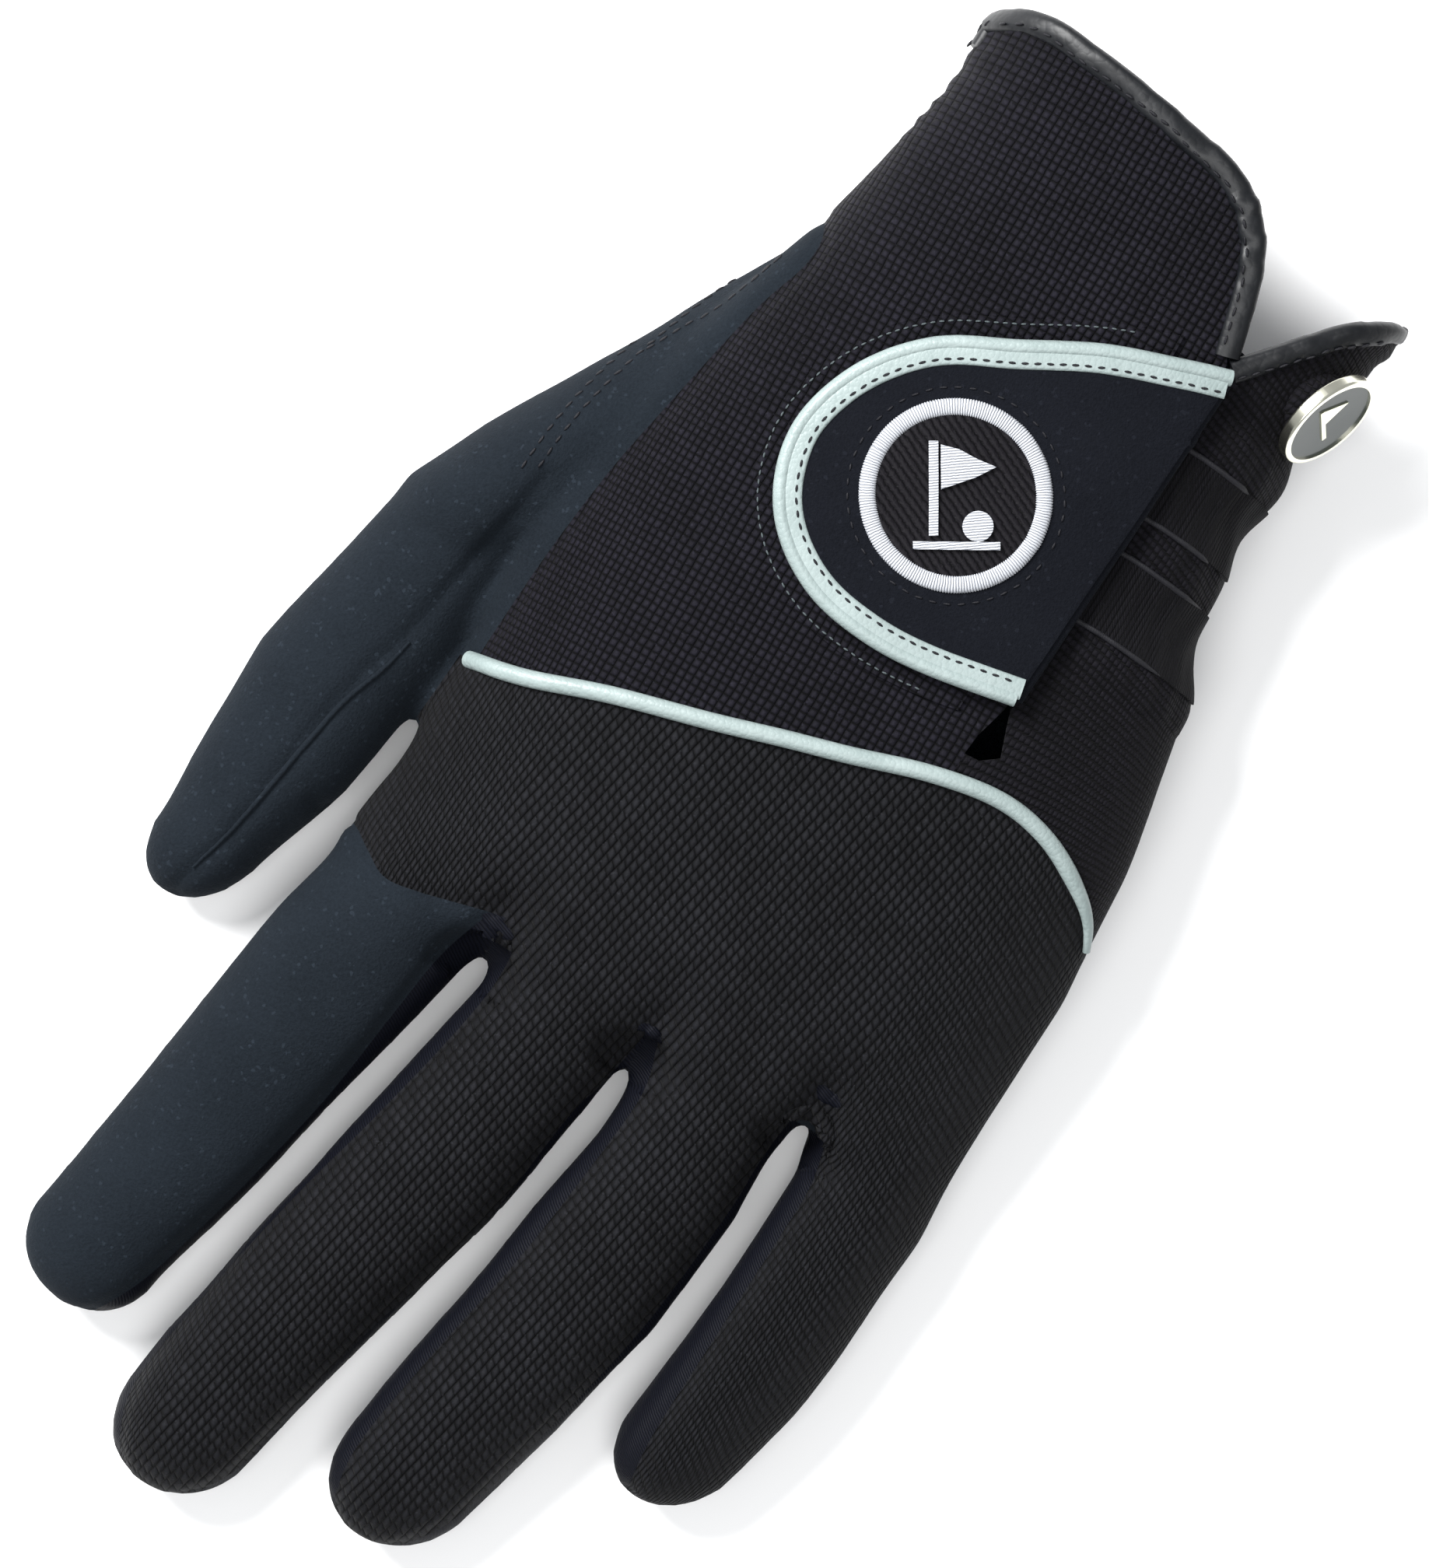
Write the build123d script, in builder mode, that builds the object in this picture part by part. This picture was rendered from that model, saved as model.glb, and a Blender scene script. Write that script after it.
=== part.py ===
"""A left-hand golf glove, lying palm down with its closure tab fastened.

Millimetres. +Z is up out of the back of the hand, -Y is the way the fingers point and +X is the
little finger's side. The origin is on the flat of the palm, under the middle of the hand.
Each panel is cut from one hollow shell, as a sewn glove's panels meet edge to edge.
"""
from build123d import *
from functools import cache
from math import cos, pi, radians, sin
import os

os.makedirs("parts", exist_ok=True)

# ---- cloth, seams and clearances ----
cloth = 1.2            # wall of the sewn shell, outer cloth with its lining
body_gap = 0.4         # clearance between pieces that turn against each other
palm_sink = 0.5        # how far the palm's round underside is pressed flat
side_seam_z = 12.0     # height of the seam between palm and back
outer_seam_z = 4.0     # the rib knit reaches further down on the little finger's side
high = 60.0            # more than the glove's height, for cutting prisms
far = 160.0            # more than the glove's length, for cutting prisms

# ---- hand: y, thumb side x, little finger side x, thickness ----
hand_stations = [
    (-46, -47.0, 52.8, 21.5),
    (-30, -44.8, 52.6, 25.0),
    (-10, -44.5, 53.2, 28.0),
    (10, -46.5, 51.4, 29.5),
    (30, -45.5, 47.6, 30.0),
    (50, -38.5, 41.4, 30.5),
    (66, -32.4, 41.3, 31.2),
    (78, -29.6, 40.6, 32.0),
    (92, -27.3, 45.6, 33.0),
    (108, -26.5, 47.5, 34.0),
]
root_y = -46.0         # where the fingers leave the hand
hand_squareness = 2.6  # superellipse exponent: 2 is an ellipse, more is squarer
outline_steps = 16

# ---- ball of the thumb, which leaves the hand and ends at the thumb's root ----
thenar_stations = [
    (62, -33.0, -18.0, 16.0),
    (45, -43.8, -22.0, 21.0),
    (30, -52.0, -30.0, 23.0),
    (18, -58.8, -38.0, 23.5),
    (8, -63.6, -44.6, 23.0),
]
thumb_root_y = 8.0

# ---- fingers and thumb: y, left x, right x, thickness, and the tip's x and y ----
index = {
    "stations": [
        (root_y - body_gap, -46.8, -21.4, 20.5),
        (-60, -49.4, -24.1, 19.5),
        (-78, -51.9, -28.3, 18.5),
        (-95, -54.4, -32.3, 17.5),
        (-109, -56.2, -35.8, 16.0),
    ],
    "tip": (-46.6, -119.5),
}
middle = {
    "stations": [
        (root_y - body_gap, -18.6, 4.5, 21.0),
        (-60, -20.9, 2.8, 20.0),
        (-78, -24.6, 0.2, 19.0),
        (-100, -28.8, -5.7, 18.0),
        (-125, -32.6, -11.4, 16.0),
    ],
    "tip": (-23.0, -136.0),
}
ring = {
    "stations": [
        (root_y - body_gap, 5.6, 28.9, 20.5),
        (-60, 5.3, 28.5, 19.5),
        (-78, 3.0, 26.9, 18.5),
        (-97, -0.1, 22.9, 17.5),
        (-115, -2.8, 17.9, 16.0),
    ],
    "tip": (6.2, -126.5),
}
little = {
    "stations": [
        (root_y - body_gap, 32.3, 52.4, 19.5),
        (-60, 32.6, 52.2, 18.5),
        (-75, 31.3, 50.7, 17.5),
        (-91, 30.2, 47.3, 15.5),
    ],
    "tip": (37.6, -101.5),
}
thumb = {
    "stations": [
        (thumb_root_y - body_gap, -63.5, -47.6, 21.5),
        (-8, -66.8, -46.9, 20.5),
        (-24, -70.2, -46.8, 20.0),
        (-38, -70.7, -49.4, 18.0),
        (-50, -70.0, -53.6, 15.0),
    ],
    "tip": (-64.4, -61.0),
}
tip_ring_angles = (22, 42, 60, 76)  # rings that round a fingertip off
back_seam_z = 13.0                  # top of the side walls of the fingers
palm_seam_z = 4.5                   # bottom of the side walls
thumb_seam = ((-50.5, 12.0), (-63.5, -64.0))  # the seam down the middle of the thumb

# ---- outlines on the back of the hand ----
piping_route = [(-43.2, -11.8), (-30, -7.7), (-10, -1.0), (10, 5.6), (22, 9.0), (31, 9.7),
                (39, 8.2), (46, 4.2), (51, -1.5), (55.5, -11.0)]
suede_edge = [(-42.6, -11.8), (-41.6, 5), (-38.6, 30), (-34, 50), (-30.6, 66), (-32, 80)]
cuff_edge = [(-32, 100.6), (-20, 104.0), (-4, 102.4), (10, 100.2), (17.4, 96.4), (21.8, 90.2), (24.4, 79.5)]
slit_foot = (22.6, 11.0)
slit_back_side = [(23.6, 20.0), (26.0, 77.0)]
slit_outer_side = [(29.6, 15.5), (25.2, 24.0), (26.9, 77.5)]
ear_edge = [(29.6, 78.6), (33, 82.9), (39.5, 88.9), (48, 94.6)]
palm_edge = [(-40, 101.0), (60, 74.0)]

# ---- trims ----
piping_width = 2.4
binding_width = 3.4        # leather folded over an edge, half of it past the cloth
lower_band_span = (36.2, 47.4)
upper_band_span = (53.0, 64.4)
band_inner_x = 29.0
band_bottom_z = 9.0
crotch_x = {"index_middle": -20.0, "middle_ring": 5.0, "ring_little": 30.6}
gusset_width = 2.0
gusset_depth = 4.5

# ---- heights over the cloth, in layers; negative is inside the hand ----
lining_face = -2.0
loop_top = 0.8
hook_bottom = loop_top + body_gap
hook_top = hook_bottom + 0.6
tab_top = hook_top + 1.0
badge_top = tab_top + 0.4
stitch_top = badge_top + 0.4

# ---- closure tab ----
tab_root = [(24.2, 21.8), (26.6, 76.6)]
tab_root_clear = [(22.2, 21.8), (24.6, 76.6)]  # clear of the roll it turns about
tab_nose = [(40, 81.0), (26.6, 76.4), (10, 70.2), (-9, 59.6), (-17.5, 51.0), (-20.4, 40.5), (-18.0, 30.0),
            (-10, 21.8), (2, 18.8), (13, 19.4), (24.2, 21.8), (40, 26.0)]
nose_steps = 26
tab_piping_width = 3.2
loop_margin = 3.4          # the loop pad shows past the tab by this much
loop_inner_x = 21.5
hook_inset = 6.0
roll_radius = 1.5          # rolled seam that the tab turns about
roll_ends = [(24.2, 21.8, 30.2), (26.6, 76.6, 31.9)]
badge_centre = (3.3, 42.3)
badge_radius = 13.4
badge_ring_width = 2.5
pennant = [(-1.6, 6.6), (5.6, 3.4), (-1.6, 0.4)]  # flag of the emblem, from the badge's centre
pole_width = 1.1
pole_length = 13.0
pole_x = -2.2

# ---- ball marker, held by a stud in a snap socket ----
marker_plane = Plane(origin=(39.6, 79.2, 23.9), x_dir=(-0.33, 0.33, 0.92), z_dir=(0.85, -0.32, 0.42))
marker_radius = 7.8
marker_thickness = 1.9
enamel_radius = 6.9
enamel_recess = 0.7
enamel_thickness = 0.4
stud_radius = 1.6
stud_length = 2.0
snap_clearance = 0.05
socket_radius = 4.6
socket_height = 1.6
shank_radius = 2.6
shank_depth = 4.0
washer_radius = 4.2
bore_depth = 2.4
marker_back = socket_height + 0.2   # height of the marker's back over the cloth


def squircle(left, right, bottom, top):
    """Points round a superellipse that fills the given box."""
    half_width = (right - left) / 2
    half_height = (top - bottom) / 2
    power = 2 / hand_squareness
    points = []
    for step in range(outline_steps):
        angle = 2 * pi * step / outline_steps
        across = abs(cos(angle)) ** power * (1 if cos(angle) >= 0 else -1)
        up = abs(sin(angle)) ** power * (1 if sin(angle) >= 0 else -1)
        points.append((left + half_width * (1 + across), bottom + half_height * (1 + up)))
    return points


@cache
def hand_form(grow):
    """The hand as a solid, grown by a margin, from the wrist to the roots of the fingers."""
    faces = []
    for y, left, right, thickness in hand_stations:
        with BuildSketch(Plane.XZ.offset(-y)) as section:
            with BuildLine():
                Spline(
                    *squircle(left - grow, right + grow, -palm_sink - grow, thickness + grow),
                    periodic=True,
                )
            make_face()
        faces.append(section.sketch.face())
    with BuildPart() as form:
        loft(sections=faces)
    return form.part


def oval(y, centre_x, centre_z, half_width, half_height):
    """An upright ellipse across the hand."""
    with BuildSketch(Plane.XZ.offset(-y)) as section:
        with Locations((centre_x, centre_z)):
            Ellipse(half_width, half_height)
    return section.sketch.face()


def thenar_form(grow):
    """The ball of the thumb as a solid, grown by a margin."""
    faces = [
        oval(y, (left + right) / 2, (thickness - palm_sink) / 2,
             (right - left) / 2 + grow, (thickness + palm_sink) / 2 + grow)
        for y, left, right, thickness in thenar_stations
    ]
    with BuildPart() as form:
        loft(sections=faces)
    return form.part


def digit_form(digit, grow):
    """A finger or thumb as a solid, grown by a margin: a smooth tube, then a domed tip in rings."""
    tube = [
        oval(y, (left + right) / 2, thickness / 2, (right - left) / 2 + grow, thickness / 2 + grow)
        for y, left, right, thickness in digit["stations"]
    ]
    last_y, last_left, last_right, last_thickness = digit["stations"][-1]
    tip_x, tip_y = digit["tip"]
    centre_x = (last_left + last_right) / 2
    centre_z = last_thickness / 2
    dome = [tube[-1]]
    for angle in tip_ring_angles:
        reach = sin(radians(angle))
        shrink = cos(radians(angle))
        dome.append(oval(
            last_y + (tip_y - grow - last_y) * reach,
            centre_x + (tip_x - centre_x) * reach,
            centre_z,
            ((last_right - last_left) / 2 + grow) * shrink,
            (centre_z + grow) * shrink,
        ))
    with BuildPart() as form:
        loft(sections=tube)
        loft(sections=[*dome, Vertex(tip_x, tip_y - grow, centre_z)], ruled=True)
    return form.part


def digit_wall(digit):
    """The hollow skin of a finger or thumb, open at its root."""
    with BuildPart() as wall:
        add(digit_form(digit, 0))
        add(digit_form(digit, -cloth), mode=Mode.SUBTRACT)
    return wall.part


def side_band(digit, side):
    """The block that cuts one side wall out of a finger: side is -1 for its left, 1 for its right."""
    tip_x, tip_y = digit["tip"]
    middle_line = [((left + right) / 2, y) for y, left, right, thickness in digit["stations"]]
    start_x = middle_line[0][0]
    with BuildPart() as band:
        with BuildSketch(Plane.XY.offset(palm_seam_z)):
            with BuildLine():
                Polyline(
                    (start_x, 0), *middle_line, (tip_x, tip_y), (tip_x, tip_y - 9),
                    (tip_x + side * 40, tip_y - 9), (start_x + side * 40, 0), close=True,
                )
            make_face()
        extrude(amount=back_seam_z - palm_seam_z)
    return band.part


def raised(footprint, low, top):
    """A patch over the back of the hand, between two heights above its cloth."""
    with BuildPart() as patch:
        extrude(footprint.sketch.moved(Location((0, 0, side_seam_z))), amount=high, dir=(0, 0, 1))
        add(hand_form(top), mode=Mode.INTERSECT)
        add(hand_form(low), mode=Mode.SUBTRACT)
    return patch.part


def tab_face(grow):
    """The tab's outline as a face, grown past its edge by a margin; it runs on past the root."""
    points = []
    for step in range(nose_steps + 1):
        outward = nose_line.tangent_at(step / nose_steps).rotate(Axis.Z, -90)
        points.append(nose_line.position_at(step / nose_steps) + outward * grow)
    with BuildSketch() as section:
        with BuildLine():
            edge_line = Spline(*points)
            Line(edge_line @ 1, edge_line @ 0)
        make_face()
    return section.sketch


def keep(piece, name):
    """Labels a finished piece and writes it."""
    piece.label = name
    export_step(piece, f"parts/{name}.step")


# ---- footprints: faces on the table that prisms are raised from ----
with BuildSketch() as below_piping:
    with BuildLine():
        seam_line = Spline(*piping_route)
        Polyline(seam_line @ 1, (far, -11.0), (far, -far), (-far, -far), (-far, -12.5), seam_line @ 0)
    make_face()

with BuildSketch() as back_footprint:
    with BuildLine():
        suede_line = Spline(*suede_edge)
        cuff_line = Spline(*cuff_edge)
        Line(suede_line @ 1, cuff_line @ 0)
        Polyline(
            cuff_line @ 1, *reversed(slit_back_side), slit_foot, (22.6, -30), (-42.6, -30), suede_line @ 0
        )
    make_face()
    add(below_piping.sketch, mode=Mode.SUBTRACT)

with BuildSketch() as outer_footprint:
    with BuildLine():
        ear_line = Spline(*ear_edge)
        Polyline(
            ear_line @ 1, (far, 98), (far, -30), (22.6, -30), slit_foot, *slit_outer_side, ear_line @ 0
        )
    make_face()
    add(below_piping.sketch, mode=Mode.SUBTRACT)

with BuildSketch() as past_palm_edge:
    with BuildLine():
        Polyline(*palm_edge, (far, 74), (far, far), (-far, far), (-far, 101), close=True)
    make_face()

with BuildLine():
    nose_line = Spline(*tab_nose)

with BuildSketch() as past_root:
    with BuildLine():
        Polyline(*tab_root_clear, (26.6, far), (far, far), (far, -far), (24.2, -far), close=True)
    make_face()

# ---- solids that the shell is cut with ----
with BuildPart() as knuckle_region:
    extrude(below_piping.sketch.moved(Location((0, 0, side_seam_z))), amount=high)

with BuildPart() as back_region:
    extrude(back_footprint.sketch.moved(Location((0, 0, side_seam_z))), amount=high)

with BuildPart() as outer_region:
    extrude(outer_footprint.sketch.moved(Location((0, 0, outer_seam_z))), amount=high)

with BuildPart() as marker_shank_hole:
    with BuildSketch(marker_plane):
        Circle(shank_radius)
    extrude(amount=12, both=True)

# ---- the hand's shell ----
with BuildPart() as shell:
    add(hand_form(0))
    add(thenar_form(0))
    add(hand_form(-cloth), mode=Mode.SUBTRACT)
    add(thenar_form(-cloth), mode=Mode.SUBTRACT)
    with BuildSketch(Plane.XY):
        Rectangle(2 * far, 2 * far)
    extrude(amount=high, mode=Mode.INTERSECT)

# ---- panels of the hand ----
with BuildPart() as knuckle_panel:
    add(shell.part)
    add(knuckle_region.part, mode=Mode.INTERSECT)
keep(knuckle_panel.part, "knuckle_panel")

with BuildPart() as wrist_back_panel:
    add(shell.part)
    add(back_region.part, mode=Mode.INTERSECT)
keep(wrist_back_panel.part, "wrist_back_panel")

with BuildPart() as outer_wrist_panel:
    add(shell.part)
    add(outer_region.part, mode=Mode.INTERSECT)
    add(marker_shank_hole.part, mode=Mode.SUBTRACT)
keep(outer_wrist_panel.part, "outer_wrist_panel")

with BuildPart() as palm_panel:
    add(shell.part)
    with BuildSketch(Plane.XY.offset(side_seam_z)):
        with Locations((far / 2, 0)):
            Rectangle(far, 2 * far)
    extrude(amount=high, mode=Mode.SUBTRACT)
    add(knuckle_region.part, mode=Mode.SUBTRACT)
    add(back_region.part, mode=Mode.SUBTRACT)
    add(outer_region.part, mode=Mode.SUBTRACT)
    extrude(past_palm_edge.sketch, amount=high, mode=Mode.SUBTRACT)
keep(palm_panel.part, "palm_panel")

# ---- piping, bindings and elastics on the hand ----
with BuildSketch() as piping_band:
    with BuildLine(mode=Mode.PRIVATE) as piping_path:
        Spline(*piping_route)
    trace(piping_path.line, line_width=piping_width)
with BuildPart() as knuckle_piping:
    add(raised(piping_band, 0, hook_top))
keep(knuckle_piping.part, "knuckle_piping")

with BuildSketch() as cuff_band:
    with BuildLine(mode=Mode.PRIVATE) as cuff_path:
        Spline(*cuff_edge)
    trace(cuff_path.line, line_width=binding_width)
with BuildPart() as cuff_binding:
    add(raised(cuff_band, lining_face, loop_top))
    add(wrist_back_panel.part, mode=Mode.SUBTRACT)
    add(palm_panel.part, mode=Mode.SUBTRACT)
keep(cuff_binding.part, "cuff_binding")

with BuildSketch() as ear_band:
    with BuildLine(mode=Mode.PRIVATE) as ear_path:
        Spline(*ear_edge)
    trace(ear_path.line, line_width=binding_width)
with BuildPart() as ear_binding:
    add(raised(ear_band, lining_face, loop_top))
    add(outer_wrist_panel.part, mode=Mode.SUBTRACT)
keep(ear_binding.part, "ear_binding")

with BuildSketch() as lower_band_strip:
    with Locations((60, sum(lower_band_span) / 2)):
        Rectangle(2 * (60 - band_inner_x), lower_band_span[1] - lower_band_span[0])
with BuildPart() as lower_elastic_band:
    extrude(lower_band_strip.sketch.moved(Location((0, 0, band_bottom_z))), amount=high)
    add(hand_form(loop_top), mode=Mode.INTERSECT)
    add(hand_form(0), mode=Mode.SUBTRACT)
keep(lower_elastic_band.part, "lower_elastic_band")

with BuildSketch() as upper_band_strip:
    with Locations((60, sum(upper_band_span) / 2)):
        Rectangle(2 * (60 - band_inner_x), upper_band_span[1] - upper_band_span[0])
with BuildPart() as upper_elastic_band:
    extrude(upper_band_strip.sketch.moved(Location((0, 0, band_bottom_z))), amount=high)
    add(hand_form(loop_top), mode=Mode.INTERSECT)
    add(hand_form(0), mode=Mode.SUBTRACT)
keep(upper_elastic_band.part, "upper_elastic_band")

# ---- webs between the roots of the fingers ----
with BuildPart() as gusset_index_middle:
    with Locations((crotch_x["index_middle"], root_y + gusset_depth / 2, 0)):
        Box(gusset_width, gusset_depth, 2 * high)
    add(hand_form(-cloth), mode=Mode.INTERSECT)
keep(gusset_index_middle.part, "gusset_index_middle")

with BuildPart() as gusset_middle_ring:
    with Locations((crotch_x["middle_ring"], root_y + gusset_depth / 2, 0)):
        Box(gusset_width, gusset_depth, 2 * high)
    add(hand_form(-cloth), mode=Mode.INTERSECT)
keep(gusset_middle_ring.part, "gusset_middle_ring")

with BuildPart() as gusset_ring_little:
    with Locations((crotch_x["ring_little"], root_y + gusset_depth / 2, 0)):
        Box(gusset_width, gusset_depth, 2 * high)
    add(hand_form(-cloth), mode=Mode.INTERSECT)
keep(gusset_ring_little.part, "gusset_ring_little")

# ---- closure: loop pad on the hand, rolled seam, and the tab that turns about it ----
with BuildSketch() as loop_outline:
    add(tab_face(loop_margin))
    with Locations((loop_inner_x + far / 2, 0)):
        Rectangle(far, 2 * far, mode=Mode.SUBTRACT)
with BuildPart() as loop_pad:
    add(raised(loop_outline, 0, loop_top))
keep(loop_pad.part, "loop_pad")

roll_start = Vector(*roll_ends[0])
roll_way = Vector(*roll_ends[1]) - roll_start
with BuildSketch() as roll_strip:
    with BuildLine(mode=Mode.PRIVATE) as roll_path:
        Line(*tab_root)
    trace(roll_path.line, line_width=roll_radius)
with BuildPart() as tab_hinge_seam:
    extrude(roll_strip.sketch.moved(Location((0, 0, side_seam_z))), amount=roll_ends[0][2] - side_seam_z)
    with BuildSketch(Plane(origin=roll_start, z_dir=roll_way)):
        Circle(roll_radius)
    extrude(amount=roll_way.length)
    add(hand_form(0), mode=Mode.SUBTRACT)
keep(tab_hinge_seam.part, "tab_hinge_seam")

with BuildSketch() as tab_field:
    add(tab_face(-tab_piping_width))
    add(past_root.sketch, mode=Mode.SUBTRACT)
with BuildPart() as closure_tab:
    add(raised(tab_field, hook_top, tab_top))
keep(closure_tab.part, "closure_tab")

with BuildSketch() as tab_rim:
    add(tab_face(0))
    add(tab_face(-tab_piping_width), mode=Mode.SUBTRACT)
    add(past_root.sketch, mode=Mode.SUBTRACT)
with BuildPart() as tab_piping:
    add(raised(tab_rim, hook_bottom, stitch_top))
keep(tab_piping.part, "tab_piping")

with BuildSketch() as hook_outline:
    add(tab_face(-hook_inset))
    with Locations((loop_inner_x - hook_inset + far / 2, 0)):
        Rectangle(far, 2 * far, mode=Mode.SUBTRACT)
with BuildPart() as hook_pad:
    add(raised(hook_outline, hook_bottom, hook_top))
keep(hook_pad.part, "hook_pad")

with BuildSketch() as badge_circle:
    with Locations(badge_centre):
        Circle(badge_radius - badge_ring_width)
with BuildPart() as badge_disc:
    add(raised(badge_circle, tab_top, badge_top))
keep(badge_disc.part, "badge_disc")

with BuildSketch() as badge_band:
    with Locations(badge_centre):
        Circle(badge_radius)
        Circle(badge_radius - badge_ring_width, mode=Mode.SUBTRACT)
with BuildPart() as badge_ring:
    add(raised(badge_band, tab_top, stitch_top))
keep(badge_ring.part, "badge_ring")

with BuildSketch() as emblem_shape:
    with Locations((badge_centre[0] + pole_x, badge_centre[1])):
        Rectangle(pole_width, pole_length)
    with BuildLine():
        Polyline(*[(badge_centre[0] + x, badge_centre[1] + y) for x, y in pennant], close=True)
    make_face()
with BuildPart() as badge_emblem:
    add(raised(emblem_shape, badge_top, stitch_top))
keep(badge_emblem.part, "badge_emblem")

# ---- ball marker and its snap socket ----
with BuildPart() as socket_washer:
    with BuildSketch(marker_plane.offset(-shank_depth)):
        Circle(washer_radius)
    extrude(amount=shank_depth)
    add(hand_form(-cloth), mode=Mode.INTERSECT)

with BuildPart() as marker_socket:
    with BuildSketch(marker_plane.offset(socket_height)):
        Circle(socket_radius)
    extrude(amount=-socket_height - shank_depth)
    add(hand_form(0), mode=Mode.SUBTRACT)
    with BuildSketch(marker_plane.offset(-shank_depth)):
        Circle(shank_radius)
    extrude(amount=shank_depth + socket_height)
    add(socket_washer.part)
    with BuildSketch(marker_plane.offset(socket_height)):
        Circle(stud_radius + snap_clearance)
    extrude(amount=-bore_depth, mode=Mode.SUBTRACT)
keep(marker_socket.part, "marker_socket")

with BuildPart() as marker_stud:
    with BuildSketch(marker_plane.offset(marker_back)):
        Circle(stud_radius)
    extrude(amount=-stud_length)
keep(marker_stud.part, "marker_stud")

with BuildPart() as marker_cup:
    with BuildSketch(marker_plane.offset(marker_back)):
        Circle(marker_radius)
    extrude(amount=marker_thickness)
    with BuildSketch(marker_plane.offset(marker_back + marker_thickness - enamel_recess)):
        Circle(enamel_radius)
    extrude(amount=enamel_recess, mode=Mode.SUBTRACT)
    fillet(marker_cup.edges().filter_by(GeomType.CIRCLE).sort_by(SortBy.RADIUS)[-2:], 0.4)
keep(marker_cup.part, "marker_cup")

with BuildPart() as marker_enamel:
    with BuildSketch(marker_plane.offset(marker_back + marker_thickness - enamel_recess)):
        Circle(enamel_radius)
    extrude(amount=enamel_thickness)
keep(marker_enamel.part, "marker_enamel")

with BuildPart() as marker_emblem:
    with BuildSketch(marker_plane.offset(marker_back + marker_thickness - enamel_recess + enamel_thickness)):
        with Locations((0.5, 1.2)):
            Rectangle(7.4, 0.7)
        with BuildLine():
            Polyline((4.2, 1.0), (2.4, -3.2), (0.6, 1.0), close=True)
        make_face()
    extrude(amount=0.25)
keep(marker_emblem.part, "marker_emblem")

# ---- fingers: back, palm and side walls, each cut from the finger's own skin ----
with BuildPart() as index_back:
    add(digit_wall(index))
    split(bisect_by=Plane.XY.offset(palm_seam_z), keep=Keep.TOP)
    add(side_band(index, 1), mode=Mode.SUBTRACT)
keep(index_back.part, "index_back")

with BuildPart() as index_palm:
    add(digit_wall(index))
    split(bisect_by=Plane.XY.offset(palm_seam_z), keep=Keep.BOTTOM)
keep(index_palm.part, "index_palm")

with BuildPart() as index_side_wall:
    add(digit_wall(index))
    add(side_band(index, 1), mode=Mode.INTERSECT)
keep(index_side_wall.part, "index_side_wall")

with BuildPart() as middle_back:
    add(digit_wall(middle))
    split(bisect_by=Plane.XY.offset(back_seam_z), keep=Keep.TOP)
keep(middle_back.part, "middle_back")

with BuildPart() as middle_palm:
    add(digit_wall(middle))
    split(bisect_by=Plane.XY.offset(palm_seam_z), keep=Keep.BOTTOM)
keep(middle_palm.part, "middle_palm")

with BuildPart() as middle_side_wall_left:
    add(digit_wall(middle))
    add(side_band(middle, -1), mode=Mode.INTERSECT)
keep(middle_side_wall_left.part, "middle_side_wall_left")

with BuildPart() as middle_side_wall_right:
    add(digit_wall(middle))
    add(side_band(middle, 1), mode=Mode.INTERSECT)
keep(middle_side_wall_right.part, "middle_side_wall_right")

with BuildPart() as ring_back:
    add(digit_wall(ring))
    split(bisect_by=Plane.XY.offset(back_seam_z), keep=Keep.TOP)
keep(ring_back.part, "ring_back")

with BuildPart() as ring_palm:
    add(digit_wall(ring))
    split(bisect_by=Plane.XY.offset(palm_seam_z), keep=Keep.BOTTOM)
keep(ring_palm.part, "ring_palm")

with BuildPart() as ring_side_wall_left:
    add(digit_wall(ring))
    add(side_band(ring, -1), mode=Mode.INTERSECT)
keep(ring_side_wall_left.part, "ring_side_wall_left")

with BuildPart() as ring_side_wall_right:
    add(digit_wall(ring))
    add(side_band(ring, 1), mode=Mode.INTERSECT)
keep(ring_side_wall_right.part, "ring_side_wall_right")

with BuildPart() as little_back:
    add(digit_wall(little))
    split(bisect_by=Plane.XY.offset(palm_seam_z), keep=Keep.TOP)
    add(side_band(little, -1), mode=Mode.SUBTRACT)
keep(little_back.part, "little_back")

with BuildPart() as little_palm:
    add(digit_wall(little))
    split(bisect_by=Plane.XY.offset(palm_seam_z), keep=Keep.BOTTOM)
keep(little_palm.part, "little_palm")

with BuildPart() as little_side_wall:
    add(digit_wall(little))
    add(side_band(little, -1), mode=Mode.INTERSECT)
keep(little_side_wall.part, "little_side_wall")

# ---- thumb: two halves that meet along a seam down its middle ----
with BuildSketch() as thumb_inner_side:
    with BuildLine():
        Polyline(*thumb_seam, (-10, -70), (-10, 12), close=True)
    make_face()

with BuildPart() as thumb_outer_panel:
    add(digit_wall(thumb))
    extrude(thumb_inner_side.sketch, amount=high, mode=Mode.SUBTRACT)
keep(thumb_outer_panel.part, "thumb_outer_panel")

with BuildPart() as thumb_inner_panel:
    add(digit_wall(thumb))
    extrude(thumb_inner_side.sketch, amount=high, mode=Mode.INTERSECT)
keep(thumb_inner_panel.part, "thumb_inner_panel")
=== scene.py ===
import bpy, bmesh, math
from mathutils import Vector, Matrix, noise
from mathutils.bvhtree import BVHTree
from mathutils.kdtree import KDTree


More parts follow.
